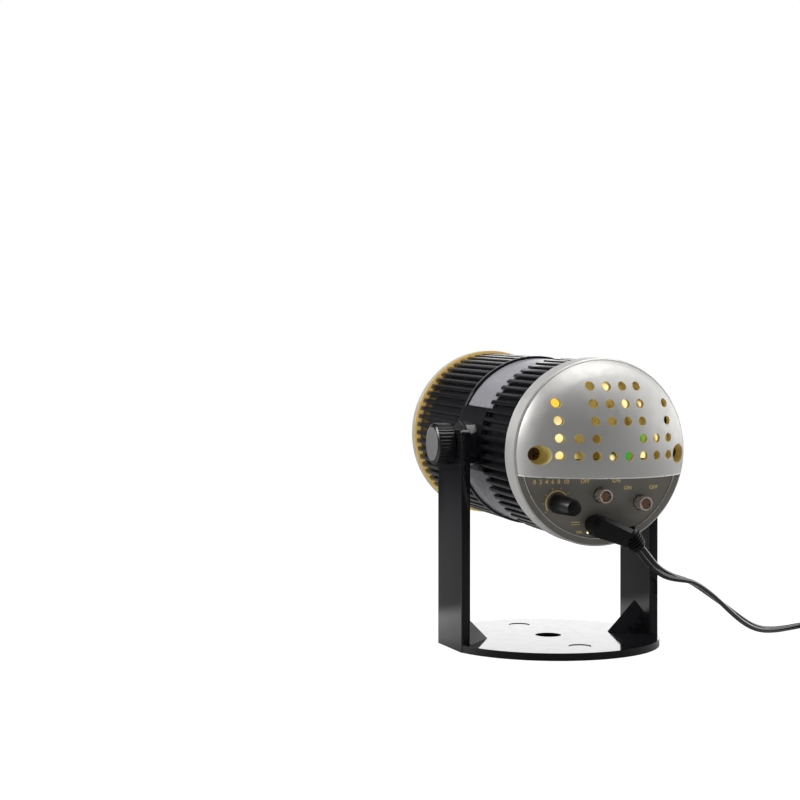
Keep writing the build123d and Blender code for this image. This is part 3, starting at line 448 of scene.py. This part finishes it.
def joined(rings):
    """A work mesh with faces between rings of points and over both ends."""
    work = bmesh.new()
    rings = [[work.verts.new(point) for point in ring] for ring in rings]
    for first, second in zip(rings, rings[1:]):
        for k in range(len(first)):
            after = (k + 1) % len(first)
            work.faces.new((first[k], first[after], second[after], second[k]))
    work.faces.new(rings[0])
    work.faces.new(rings[-1])
    return work


def round_point(radius, angle, station):
    """A point at a radius and an angle about the local Z axis."""
    return radius * math.cos(angle), radius * math.sin(angle), station


def turned(outline, steps, closed=True):
    """A work mesh turned about the local Z axis from (station, radius) points."""
    work = bmesh.new()
    columns = []
    for step in range(steps):
        angle = math.tau * step / steps
        columns.append([work.verts.new(round_point(radius, angle, station)) for station, radius in outline])
    for column, after in zip(columns, columns[1:] + columns[:1]):
        for k in range(len(outline) if closed else len(outline) - 1):
            above = (k + 1) % len(outline)
            work.faces.new((column[k], column[above], after[above], after[k]))
    bmesh.ops.remove_doubles(work, verts=work.verts, dist=same_place)
    bmesh.ops.dissolve_degenerate(work, edges=work.edges, dist=same_place)
    return work


def arc_slab(angles, stations, radii, steps=40):
    """A curved slab about the local Z axis, between two angles in degrees, stations and radii."""
    inside, outside = radii
    front, rear = stations
    corners = [(inside, front), (outside, front), (outside, rear), (inside, rear)]
    rings = []
    for step in range(steps + 1):
        angle = math.radians(angles[0] + (angles[1] - angles[0]) * step / steps)
        rings.append([round_point(radius, angle, station) for radius, station in corners])
    return joined(rings)


def rib_section(station, half, foot, top):
    """A round-shouldered section of a rib that lies along Z on the +X side."""
    soft = min(rib_round, 0.8 * half)
    return [
        (foot, -half, station),
        (top - soft, -half, station),
        (top - 0.3 * soft, -half + 0.3 * soft, station),
        (top, -half + soft, station),
        (top, half - soft, station),
        (top - 0.3 * soft, half - 0.3 * soft, station),
        (top - soft, half, station),
        (foot, half, station),
    ]


def repeat_tree(finish):
    """A node tree that stands a number of copies of a mesh round the Z axis and gives them a finish."""
    tree = bpy.data.node_groups.new("repeat", "GeometryNodeTree")
    tree.interface.new_socket("Geometry", in_out="INPUT", socket_type="NodeSocketGeometry")
    tree.interface.new_socket("Count", in_out="INPUT", socket_type="NodeSocketInt")
    tree.interface.new_socket("Step", in_out="INPUT", socket_type="NodeSocketFloat")
    tree.interface.new_socket("Geometry", in_out="OUTPUT", socket_type="NodeSocketGeometry")
    graph = Graph(tree)
    given = [graph.node("NodeGroupInput", {}, {}, name) for name in ("Geometry", "Count", "Step")]
    shape, count, step = given
    points = graph.node("GeometryNodePoints", {}, {"Count": count})
    turn = graph.node("GeometryNodeInputIndex", {}, {}) * step
    spin = graph.node("ShaderNodeCombineXYZ", {}, {"Z": turn})
    copies = {"Points": points, "Instance": shape, "Rotation": spin}
    stood = graph.node("GeometryNodeInstanceOnPoints", {}, copies)
    whole = graph.node("GeometryNodeRealizeInstances", {}, {"Geometry": stood})
    painted = graph.node("GeometryNodeSetMaterial", {}, {"Geometry": whole, "Material": finish.material})
    graph.node("NodeGroupOutput", {}, {"Geometry": painted}, None)
    return tree


def repeated(mesh, finish, count):
    """A mesh stood a number of times evenly round the Z axis."""
    holder = add_object("repeat", mesh)
    nodes = holder.modifiers.new("repeat", "NODES")
    nodes.node_group = repeat_tree(finish)
    sizes = {"Count": count, "Step": math.tau / count}
    for socket in nodes.node_group.interface.items_tree:
        if socket.in_out == "INPUT" and socket.name in sizes:
            nodes[socket.identifier] = sizes[socket.name]
    depsgraph = bpy.context.evaluated_depsgraph_get()
    whole = bpy.data.meshes.new_from_object(holder.evaluated_get(depsgraph))
    bpy.data.objects.remove(holder)
    return whole


def assemble(name, body, finishes, parts, place, replaced, choose=None):
    """One piece from several meshes made in millimetres and set in place. choose picks a face's finish from
    its centre."""
    work = bmesh.new()
    for part in parts:
        work.from_mesh(part)
    work.transform(scale_to_metres @ place)
    mesh = bpy.data.meshes.new(name)
    work.to_mesh(mesh)
    work.free()
    mesh.shade_smooth()
    mesh.set_sharp_from_angle(angle=shading_crease)
    for polygon in mesh.polygons:
        polygon.material_index = choose(polygon.center) if choose else 0
    piece = add_object(name, mesh, *finishes)
    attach(piece, body)
    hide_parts(replaced)
    return piece


ribbed_abs = Finish("ribbed_abs", (0.011, 0.011, 0.013), 0.14, specular_ior_level=0.45)
ribbed_abs.rough(0.11, 0.18, 120, 2)
ribbed_abs.bump(0.00002, 0.1, 90, 2)

front_stations = (bezel_rear, plain_ring[0] + rib_lap)
front_rib = [rib_section(station, rib_half, rib_foot, rib_tip) for station in front_stations]
rear_rib = []
for step in range(nose_steps):
    bend = math.pi / 2 * (1 - step / (nose_steps - 1))
    half = rib_half * math.cos(bend) if step else nose_half
    station = finger_tip + rib_half * (1 - math.sin(bend))
    rear_rib.append(rib_section(station, half, band_top, rib_tip - nose_drop * (1 - math.cos(bend))))
rear_stations = ((channel_rear, band_top), (channel_rear, rib_foot), (collar_front + collar_lap, rib_foot))
for station, foot in rear_stations:
    rear_rib.append(rib_section(station, rib_half, foot, rib_tip))
shell_outline = [
    (bezel_rear, barrel_bore),
    (bezel_rear, barrel_root),
    (plain_ring[0], barrel_root),
    (plain_ring[0], ring_radius - ring_round),
    (plain_ring[0] + 0.3 * ring_round, ring_radius - 0.3 * ring_round),
    (plain_ring[0] + ring_round, ring_radius),
    (plain_ring[1] - ring_round, ring_radius),
    (plain_ring[1] - 0.3 * ring_round, ring_radius - 0.3 * ring_round),
    (plain_ring[1], ring_radius - ring_round),
    (plain_ring[1], barrel_root),
    (barrel_end, barrel_root),
    (barrel_end, barrel_bore),
    (lit_from, barrel_bore),
]
barrel_parts = [
    shape_of(turned(shell_outline, steps=160)),
    repeated(shape_of(joined(front_rib)), ribbed_abs, rib_count),
    repeated(shape_of(joined(rear_rib)), ribbed_abs, rib_count),
]

# the pad at each pivot has a lower step behind it, where the silver band's channel ends
pad_angles = (-17.2, 24.63)
pad_rear = finger_tip + rib_half
pad_lap = 0.3
pad_stations = (plain_ring[1] - pad_lap, pad_rear)
step_stations = (pad_rear - pad_lap, channel_rear)
for angles in (pad_angles, (180 - pad_angles[1], 180 - pad_angles[0])):
    barrel_parts.append(shape_of(arc_slab(angles, pad_stations, (rib_foot, ring_radius))))
    barrel_parts.append(shape_of(arc_slab(angles, step_stations, (rib_foot, band_top))))

# each boss is turned about the head's own X axis
boss_radius = 11.0
boss_face = 47.5
boss_foot = 39.0
boss_round = 0.4
boss_outline = [
    (boss_foot, 0.0),
    (boss_foot, boss_radius),
    (boss_face - boss_round, boss_radius),
    (boss_face, boss_radius - boss_round),
    (boss_face, 0.0),
]
for side in (-1, 1):
    boss = turned(boss_outline, steps=64, closed=False)
    boss.transform(Matrix.Rotation(math.radians(90 * side), 4, "Y"))
    barrel_parts.append(shape_of(boss))


def head_place(point):
    """A point of the scene as the head's own right, up and station, in millimetres."""
    return head.inverted() @ (Vector(point) / mm)


def barrel_side(centre):
    """0 for the black outside, 1 for the bore behind the lamp, which glows with painted lamp light."""
    right, up, station = head_place(centre)
    return 1 if math.hypot(right, up) < barrel_bore + 0.2 and station > 0 else 0


def painted_light_near(finish, *spots):
    """A finish's painted light near some spots: each a place in the head's millimetres and a reach."""
    total = 0.0
    for right, up, station, reach in spots:
        values = {0: finish.place(), 1: head @ Vector((right, up, station)) * mm}
        away = finish.node("ShaderNodeVectorMath", {"operation": "DISTANCE"}, values, "Value")
        total = away.ramp(0.25 * reach * mm, reach * mm, 1.0, 0.0) + total
    return total.math("MINIMUM", total, 1.0)


# The bore and the chassis plate glow though they are no lamps: painted pools of lamp light round these spots,
# painted shade between them, a painted orange glow and a painted green glow.
painted_light_spots = [
    (-1, 20, 10, 9),
    (1, 6, 10, 11),
    (4, -7, 10, 9),
    (28, 28, 13, 8),
    (32, 20, 20, 8),
    (33, 21, 36, 4),
    (38, -5, 30, 7),
    (38, 6, 44, 6),
]
painted_orange_glow_spots = [(-2, 21, 10, 10), (5, -11, 10, 8)]
dim_brown = (0.022, 0.014, 0.003)
dim_amber = (0.17, 0.13, 0.035)
painted_lamp_yellow = (1.0, 0.84, 0.38)
painted_orange_glow = (1.0, 0.56, 0.05)
painted_green_glow = (0.05, 0.34, 0.03)
lit_amber = Finish("lit_amber", (0.42, 0.30, 0.09), 0.45, emission_strength=1.15)
painted_lamp_light = painted_light_near(lit_amber, *painted_light_spots)
shade = lit_amber.mixed(lit_amber.noise(110, 2).ramp(0.4, 0.6), dim_brown, dim_amber)
light = lit_amber.mixed(painted_lamp_light, shade, painted_lamp_yellow)
light = lit_amber.mixed(painted_light_near(lit_amber, *painted_orange_glow_spots), light, painted_orange_glow)
light = lit_amber.mixed(painted_light_near(lit_amber, (38, 4, 29, 4.5)), light, painted_green_glow)
lit_amber.feed("Emission Color", light)
barrel_finishes = [ribbed_abs, lit_amber]
assemble("barrel_body", "head", barrel_finishes, barrel_parts, head, "barrel", barrel_side)

# ---------------------------------------------------------------- silver band
# Two sprung strips of bright-coated plastic in the barrel's channel, above and below the pivot pads. Each
# ends just short of the pads.
bright_coat = Finish("bright_coat", (0.45, 0.45, 0.485), 0.26, metallic=0.4)
bright_coat.rough(0.24, 0.3, 60, 2)
band_edges = (-14.6, 15.9)
band_radii = (40.7, 41.7)
for name, angles in (("upper_trim_band", (25.8, 154.2)), ("lower_trim_band", (-162.0, -18.0))):
    band = shape_of(arc_slab(angles, band_edges, band_radii, steps=90))
    assemble(name + "_strip", "head", [bright_coat], [band], head, name)

# ---------------------------------------------------------------- pivot clamps
# A fluted black knob on a steel stud at each side, screwed into a brass insert in the boss through a felt
# washer. The flat end of a knob is rougher and greyer than its grip.
knob_faces = (53.2, 62.6)
knob_radius = 10.25
grip_root = 9.75
flute_count = 36
ridge_half = 0.52
ridge_end = 0.3
ridge_foot = 9.0
face_radius = 8.3
face_depth = 0.4
stud_hole = 3.0
stud_depth = 6.0
knob_outline = [
    (knob_faces[0], stud_hole),
    (knob_faces[0], 9.3),
    (knob_faces[0] + 0.5, grip_root),
    (knob_faces[1] - 1.1, grip_root),
    (knob_faces[1] - 0.7, 9.3),
    (knob_faces[1] - 0.28, 8.2),
    (knob_faces[1] - 0.1, 5.5),
    (knob_faces[1], 2.5),
    (knob_faces[1], 0.0),
    (knob_faces[0] + stud_depth, 0.0),
    (knob_faces[0] + stud_depth, stud_hole),
]


def ridge_section(station, half, top):
    """A half-round section of a ridge on the +X side."""
    bows = [math.radians(90 - 30 * k) for k in range(7)]
    bow = [(top - half + half * math.cos(angle), half * math.sin(angle), station) for angle in bows]
    return [(ridge_foot, half, station)] + bow + [(ridge_foot, -half, station)]


def knob_side(centre):
    """0 for the black grip, 1 for the grey end."""
    radius = math.hypot(centre.y, centre.z - pivot_height * mm)
    return 1 if abs(centre.x) > (knob_faces[1] - face_depth) * mm and radius < face_radius * mm else 0


knob_ridge = [
    ridge_section(knob_faces[0] + 0.1, ridge_end, knob_radius - 0.35),
    ridge_section(knob_faces[0] + 0.6, ridge_half, knob_radius),
    ridge_section(knob_faces[1] - 1.5, ridge_half, knob_radius),
    ridge_section(knob_faces[1] - 0.9, ridge_end, knob_radius - 0.5),
]
knob_abs = Finish("knob_abs", (0.011, 0.011, 0.012), 0.22)
knob_abs.rough(0.18, 0.28, 200, 2)
knob_face = Finish("knob_face", (0.20, 0.196, 0.20), 0.4, metallic=0.2)
knob_face.rough(0.34, 0.5, 900)
for side, hand in ((-1, "left"), (1, "right")):
    knob_parts = [
        shape_of(turned(knob_outline, steps=96)),
        repeated(shape_of(joined(knob_ridge)), knob_abs, flute_count),
    ]
    sideways = Matrix.Translation((0, 0, pivot_height)) @ Matrix.Rotation(math.radians(90 * side), 4, "Y")
    assemble(
        hand + "_knob_grip",
        hand + "_knob",
        [knob_abs, knob_face],
        knob_parts,
        sideways,
        hand + "_clamp_knob",
        knob_side,
    )

steel = Finish("steel", (0.52, 0.52, 0.53), 0.28, metallic=1.0)
steel.rough(0.2, 0.4, 1500, 3, (1, 12, 1))
brass = Finish("brass", (0.62, 0.45, 0.16), 0.3, metallic=1.0)
brass.rough(0.22, 0.42, 1200)
felt = Finish("felt", (0.03, 0.03, 0.03), 0.95)
felt.bump(0.0002, 0.8, 6000, 4)

# ---------------------------------------------------------------- front bezel
# A ring moulded in amber plastic, sprayed silver on its front and rim, at the front end of the barrel. Its
# back stays bare and shows behind the ribs with a faint painted glow.
silver_paint = Finish("silver_paint", (0.56, 0.555, 0.54), 0.46, metallic=0.5)
silver_paint.rough(0.41, 0.51, 220, 5)
silver_paint.bump(0.00001, 0.3, 9000, 2)
# The bare amber carries a faint painted glow in its emission.
pale_amber = Finish(
    "pale_amber",
    (0.82, 0.64, 0.22),
    0.32,
    subsurface_weight=0.3,
    subsurface_scale=0.003,
    emission_color=(1.0, 0.72, 0.22, 1),
    emission_strength=0.22,
)
pale_amber.rough(0.26, 0.38, 260, 2)


def bezel_paint(centre):
    """0 for the sprayed front and rim, 1 for the bare back."""
    return 1 if head_place(centre).z > bezel_rear - 0.04 else 0


skin("front_bezel", "front_ring", [silver_paint, pale_amber], bevel=0.2, choose=bezel_paint)

# ---------------------------------------------------------------- rear cap
# An amber dome sprayed silver outside. The vents, screw wells and lip show the bare plastic, with a faint
# painted glow as if lit from inside. The black panel stands in the opening below the lip.
rim_station = 58.0
rim_inside = 42.9
rim_outside = 43.9
crown_centre = 19.0
crown_radius = 60.0
crown_half_angle = 37.0
haunch_centre = (49.748, 23.170)
haunch_radius = 21.5
lip_height = -10.2
panel_face = 57.6
panel_opening = 40.1
paint_depth = 0.12
# The bare amber carries a faint painted glow in its emission.
amber = Finish(
    "amber",
    (0.62, 0.50, 0.19),
    0.32,
    subsurface_weight=0.25,
    subsurface_scale=0.004,
    emission_color=(1.0, 0.78, 0.25, 1),
    emission_strength=0.07,
)
cloudy = amber.noise(260, 2).ramp(0.3, 0.7)
amber.feed("Base Color", amber.mixed(cloudy, (0.64, 0.53, 0.21), (0.52, 0.42, 0.13)))
panel_grey = Finish("panel_grey", (0.175, 0.163, 0.142), 0.34)
panel_grey.rough(0.28, 0.42, 150, 5)
panel_grey.bump(0.00001, 0.4, 5000, 2)


def cap_paint(centre):
    """0 for the sprayed outside, 1 for bare amber, 2 for the dark rim beside the control panel."""
    right, up, station = head_place(centre)
    radius = math.hypot(right, up)
    if station > rim_station - 0.05 and up < lip_height - 0.05 and radius < rim_outside:
        return 2
    if station < collar_front + 0.15 and radius > barrel_root:
        return 0
    if station < rim_station + 0.02:
        edge = up < lip_height - 0.3 and radius > panel_opening and station > panel_face - 2.1
        return 0 if radius > rim_inside or edge else 1
    if abs(up - lip_height) < 0.05:
        return 0
    slope = math.degrees(math.atan2(radius, station - crown_centre))
    if slope < crown_half_angle:
        depth = crown_radius - math.hypot(radius, station - crown_centre)
    else:
        depth = haunch_radius - math.hypot(radius - haunch_centre[1], station - haunch_centre[0])
    return 0 if depth < paint_depth else 1


skin("rear_cap", "rear_dome", [silver_paint, amber, panel_grey], choose=cap_paint)
skin("control_panel", "panel", [panel_grey], bevel=0.08)

# Painted highlights: a bright bead along the lip and a thin bright edge round the panel's opening.
lip_bead_width = 0.45
opening_bead_width = 0.28
opening_bead_radius = 40.3
opening_bearings = (-165.5, -14.5)
# A light silver that stands in for the glints on those edges.
highlight_silver = Finish("highlight_silver", (0.80, 0.80, 0.79), 0.3, metallic=0.3)
highlight_silver.rough(0.26, 0.38, 400, 2)


def dome_station(radius):
    """Where the dome's outside stands at a radius."""
    if radius < crown_radius * math.sin(math.radians(crown_half_angle)):
        return crown_centre + math.sqrt(crown_radius**2 - radius**2)
    return haunch_centre[0] + math.sqrt(haunch_radius**2 - (radius - haunch_centre[1]) ** 2)


def bead(name, points, width):
    """A round bead of painted highlight through points in the head's millimetres."""
    line = bpy.data.curves.new(name, "CURVE")
    line.dimensions = "3D"
    line.bevel_depth = width / 2 * mm
    line.bevel_resolution = 2
    line.use_fill_caps = True
    run = line.splines.new("POLY")
    run.points.add(len(points) - 1)
    for point, place in zip(run.points, points):
        point.co = (*(head @ Vector(place) * mm), 1)
    holder = bpy.data.objects.new(name, line)
    mesh = bpy.data.meshes.new_from_object(holder)
    bpy.data.objects.remove(holder)
    mesh.shade_smooth()
    piece = add_object(name, mesh, highlight_silver)
    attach(piece, "head")


lip_steps = 48
lip_radius = 43.0
lip_half = math.sqrt(lip_radius**2 - lip_height**2)
lip_points = []
for step in range(lip_steps + 1):
    right = lip_half * math.sin(math.pi / 2 * (2 * step / lip_steps - 1))
    lip_points.append((right, lip_height + 0.12, dome_station(math.hypot(right, lip_height)) - 0.05))
bead("lip_bead", lip_points, lip_bead_width)
opening_steps = 60
opening_points = []
for step in range(opening_steps + 1):
    share = step / opening_steps
    bearing = math.radians(opening_bearings[0] + (opening_bearings[1] - opening_bearings[0]) * share)
    right = opening_bead_radius * math.cos(bearing)
    up = opening_bead_radius * math.sin(bearing)
    opening_points.append((right, up, rim_station - 0.02))
bead("opening_bead", opening_points, opening_bead_width)

# ---------------------------------------------------------------- controls
# A tapered black speed knob of soft plastic, and two chromed push-button caps with a dished end. The knob is
# pushed on its shaft and the caps on their plungers.
speed_place = (-21.6, -23.4)
button_places = ((0.4, -20.0), (21.2, -23.9))
dish_radius = 2.55
dish_stations = (panel_face + 5.0, panel_face + 6.05)
chrome = Finish("chrome", (0.88, 0.80, 0.76), 0.26, metallic=0.75)
chrome.rough(0.22, 0.28, 300, 2)
# The dished end is a darker brown than the chrome: painted shade in its hollow.
dish_shade_brown = Finish("dish_shade_brown", (0.34, 0.20, 0.13), 0.2, metallic=0.8)
dish_shade_brown.rough(0.16, 0.26, 500)
soft_black = Finish("soft_black", (0.005, 0.005, 0.006), 0.36, specular_ior_level=0.35)
soft_black.bump(0.00001, 0.3, 900, 3)
speed_outline = [
    (58.2, 2.6),
    (58.2, 4.45),
    (58.45, 4.62),
    (60.5, 4.6),
    (75.2, 3.78),
    (76.0, 3.45),
    (76.4, 2.8),
    (76.3, 0.0),
    (72.0, 0.0),
    (72.0, 2.6),
]
cap_parts = [shape_of(turned(speed_outline, steps=64))]
speed_axis = head @ Matrix.Translation((*speed_place, 0))
assemble("speed_knob_cap", "speed_control", [soft_black], cap_parts, speed_axis, "speed_knob")


def button_side(centre):
    """0 for a button's chromed side and rim, 1 for its dished end."""
    right, up, station = head_place(centre)
    reach = min(math.hypot(right - place[0], up - place[1]) for place in button_places)
    return 1 if reach < dish_radius and dish_stations[0] < station < dish_stations[1] else 0


for name in ("power_button", "motor_button"):
    skin(name, name + "_cap", [chrome, dish_shade_brown], bevel=0.12, choose=button_side)

# ---------------------------------------------------------------- prints on the panel
# Gold pad prints: a scale with numbers round the speed knob, ON and OFF at the buttons, and the mark for
# direct current by the jack.
print_half = 0.02
print_middle = panel_face + 0.025
print_rows = [
    ("0  2  4  6  8  10", -24.9, -13.4, 2.9),
    ("OFF", -7.6, -13.4, 2.7),
    ("ON", 8.6, -13.4, 2.7),
    ("OFF", 28.2, -16.9, 2.5),
    ("ON", 14.6, -16.9, 2.5),
    ("ON", -10.2, -37.2, 1.9),
]
tick_count = 6
first_tick = 215
tick_step = 35
tick_radius = 7.1
tick_size = (0.9, 0.28)
dial_angles = (40, 215)
dial_radii = (5.5, 6.1)
mark_place = (-12.0, -32.4)
mark_size = (4.2, 0.34)
dash_drop = 1.1
dash_pitch = 1.55
dash_size = (1.1, 0.34)
gold_print = Finish("gold_print", (0.88, 0.64, 0.20), 0.4, metallic=0.1)
gold_print.rough(0.34, 0.5, 1200)
print_work = bmesh.new()
for words, right, up, height in print_rows:
    letters = bpy.data.curves.new("letters", "FONT")
    letters.body = words
    letters.size = height
    letters.align_x = "CENTER"
    letters.align_y = "CENTER"
    letters.resolution_u = 3
    letters.extrude = print_half
    letters.offset = 0.03
    holder = bpy.data.objects.new("letters", letters)
    lettering = bpy.data.meshes.new_from_object(holder)
    lettering.transform(Matrix.Translation((right, up, print_middle)))
    print_work.from_mesh(lettering)
    bpy.data.objects.remove(holder)


def print_bar(middle, size, turn=0.0):
    """A printed bar on the panel."""
    bar = Matrix.Translation((*middle, print_middle)) @ Matrix.Rotation(turn, 4, "Z")
    bar = bar @ Matrix.Diagonal((*size, 2 * print_half, 1))
    bmesh.ops.create_cube(print_work, size=1.0, matrix=bar)


for tick in range(tick_count):
    bearing = math.radians(first_tick - tick_step * tick)
    ray = Vector((math.cos(bearing), math.sin(bearing)))
    print_bar(Vector(speed_place) + ray * tick_radius, tick_size, bearing)
dial = arc_slab(dial_angles, (print_middle - print_half, print_middle + print_half), dial_radii, steps=48)
dial.transform(Matrix.Translation((*speed_place, 0)))
print_work.from_mesh(shape_of(dial))
print_bar(mark_place, mark_size)
for dash in (-1, 0, 1):
    print_bar((mark_place[0] + dash * dash_pitch, mark_place[1] - dash_drop), dash_size)
print_mesh = bpy.data.meshes.new("panel_prints")
print_work.transform(scale_to_metres @ head)
print_work.to_mesh(print_mesh)
print_work.free()
panel_prints = add_object("panel_prints", print_mesh, gold_print)
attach(panel_prints, "head")

# ---------------------------------------------------------------- remaining pieces
# The screws, shafts, boards and optics are bought parts or small mouldings. They keep the frame's own meshes
# and take their finish here.
lamp_lens = Finish(
    "lamp_lens", (1.0, 0.9, 0.6), 0.2, emission_color=(1.0, 0.82, 0.42, 1), emission_strength=1.4
)
lamp_lens.rough(0.16, 0.24, 900, 2)
warm_light = Finish(
    "warm_light", (1.0, 0.9, 0.6), 0.4, emission_color=(1.0, 0.80, 0.42, 1), emission_strength=6.0
)
warm_light.rough(0.34, 0.46, 900, 2)
# The control board glows though it is no lamp: a dim painted glow all over, with a painted green glow and a
# small painted yellow glint at two spots.
board_green = Finish("board_green", (0.02, 0.10, 0.03), 0.35, emission_strength=1.0)
board_green.rough(0.25, 0.5, 900)
painted_board_dim_glow = (0.012, 0.022, 0.006)
painted_yellow_glint = (1.0, 0.86, 0.42)
painted_board_glow = board_green.mixed(painted_light_near(board_green, (22, -3, 46, 5)), painted_board_dim_glow, painted_green_glow)
painted_board_glow = board_green.mixed(painted_light_near(board_green, (12, -4, 46, 2.6)), painted_board_glow, painted_yellow_glint)
board_green.feed("Emission Color", painted_board_glow)
dark_steel = Finish("dark_steel", (0.10, 0.06, 0.035), 0.35, metallic=0.8)
dark_steel.rough(0.26, 0.46, 1500)
aluminium = Finish("aluminium", (0.62, 0.62, 0.63), 0.34, metallic=1.0)
aluminium.rough(0.26, 0.44, 800)
nylon = Finish("nylon", (0.72, 0.70, 0.64), 0.45)
nylon.rough(0.36, 0.54, 900)
glass = Finish("glass", (0.98, 0.99, 1.0), 0.02, transmission_weight=1.0, ior=1.5)
glass.rough(0.01, 0.03, 400, 2)
film = Finish("film", (0.02, 0.03, 0.06), 0.2)
film.rough(0.12, 0.3, 900)
screws = ["lens_plate_screws", "disc_holder_screws", "chassis_screws", "board_screws"]
bought_pieces = [
    (steel, ["left_clamp_stud", "right_clamp_stud", "disc_clip", "speed_shaft", "plug_sleeve", *screws]),
    (dark_steel, ["cap_screws"]),
    (brass, ["thread_inserts", "motor_pinion", "adapter_pins"]),
    (felt, ["friction_washers"]),
    (ribbed_abs, ["lens_plate"]),
    (knob_abs, ["focus_ring", "lens_cell", "lens_retainer", "lamp_tube"]),
    (glass, ["objective_lens", "condenser_lens"]),
    (nylon, ["disc_gear", "disc_holder", "led_board"]),
    (film, ["star_disc"]),
    (aluminium, ["motor", "heat_sink", "speed_potentiometer"]),
    (warm_light, ["led_lamp"]),
    (lit_amber, ["chassis_plate"]),
    (board_green, ["control_board"]),
    (soft_black, ["power_switch", "motor_switch", "dc_jack"]),
    (lamp_lens, ["power_lamp"]),
]
for finish, names in bought_pieces:
    for name in names:
        mesh = frame["nodes"][name].data
        mesh.materials.clear()
        mesh.materials.append(finish.material)

# ---------------------------------------------------------------- plug, strain reliefs and adapter
# The plug and its ribbed strain relief are moulded on the lead's end in soft black plastic. The wall adapter
# is a plain black box with two flat brass pins.
relief_length = 8.5
relief_ridges = 4
relief_pitch = 1.5
relief_radius = 4.75
relief_taper = 0.14
relief_outline = [(-2.0, 0.0), (-2.0, 4.3), (-0.2, 4.5)]
for ridge in range(relief_ridges):
    start = 0.2 + relief_pitch * ridge
    full = relief_radius - relief_taper * ridge
    relief_outline += [(start, full - 0.7), (start + 0.2, full - 0.15), (start + 0.4, full)]
    relief_outline += [(start + 0.8, full), (start + 1.0, full - 0.15), (start + 1.15, full - 0.7)]
relief_outline += [(6.6, 3.9), (7.3, 3.6), (8.2, 2.6), (relief_length, 1.6), (relief_length, 0.0)]
lead_heading = Vector((0.6521, 0.0370, -0.7572)).normalized()
relief_foot = Vector(lead_route[0]) - relief_length * lead_heading
relief_place = Matrix.Translation(relief_foot) @ lead_heading.to_track_quat("Z", "Y").to_matrix().to_4x4()
relief_parts = [shape_of(turned(relief_outline, steps=40, closed=False))]
plug = skin("dc_plug", "dc_plug_body", [soft_black], bevel=0.3)
relief = assemble(
    "plug_relief", "head", [soft_black], relief_parts, relief_place, "plug_strain_relief"
)
adapter_relief = skin("adapter_strain_relief", "adapter_relief", [black_pvc])
adapter = skin("adapter_case", "adapter", [soft_black], bevel=0.4)
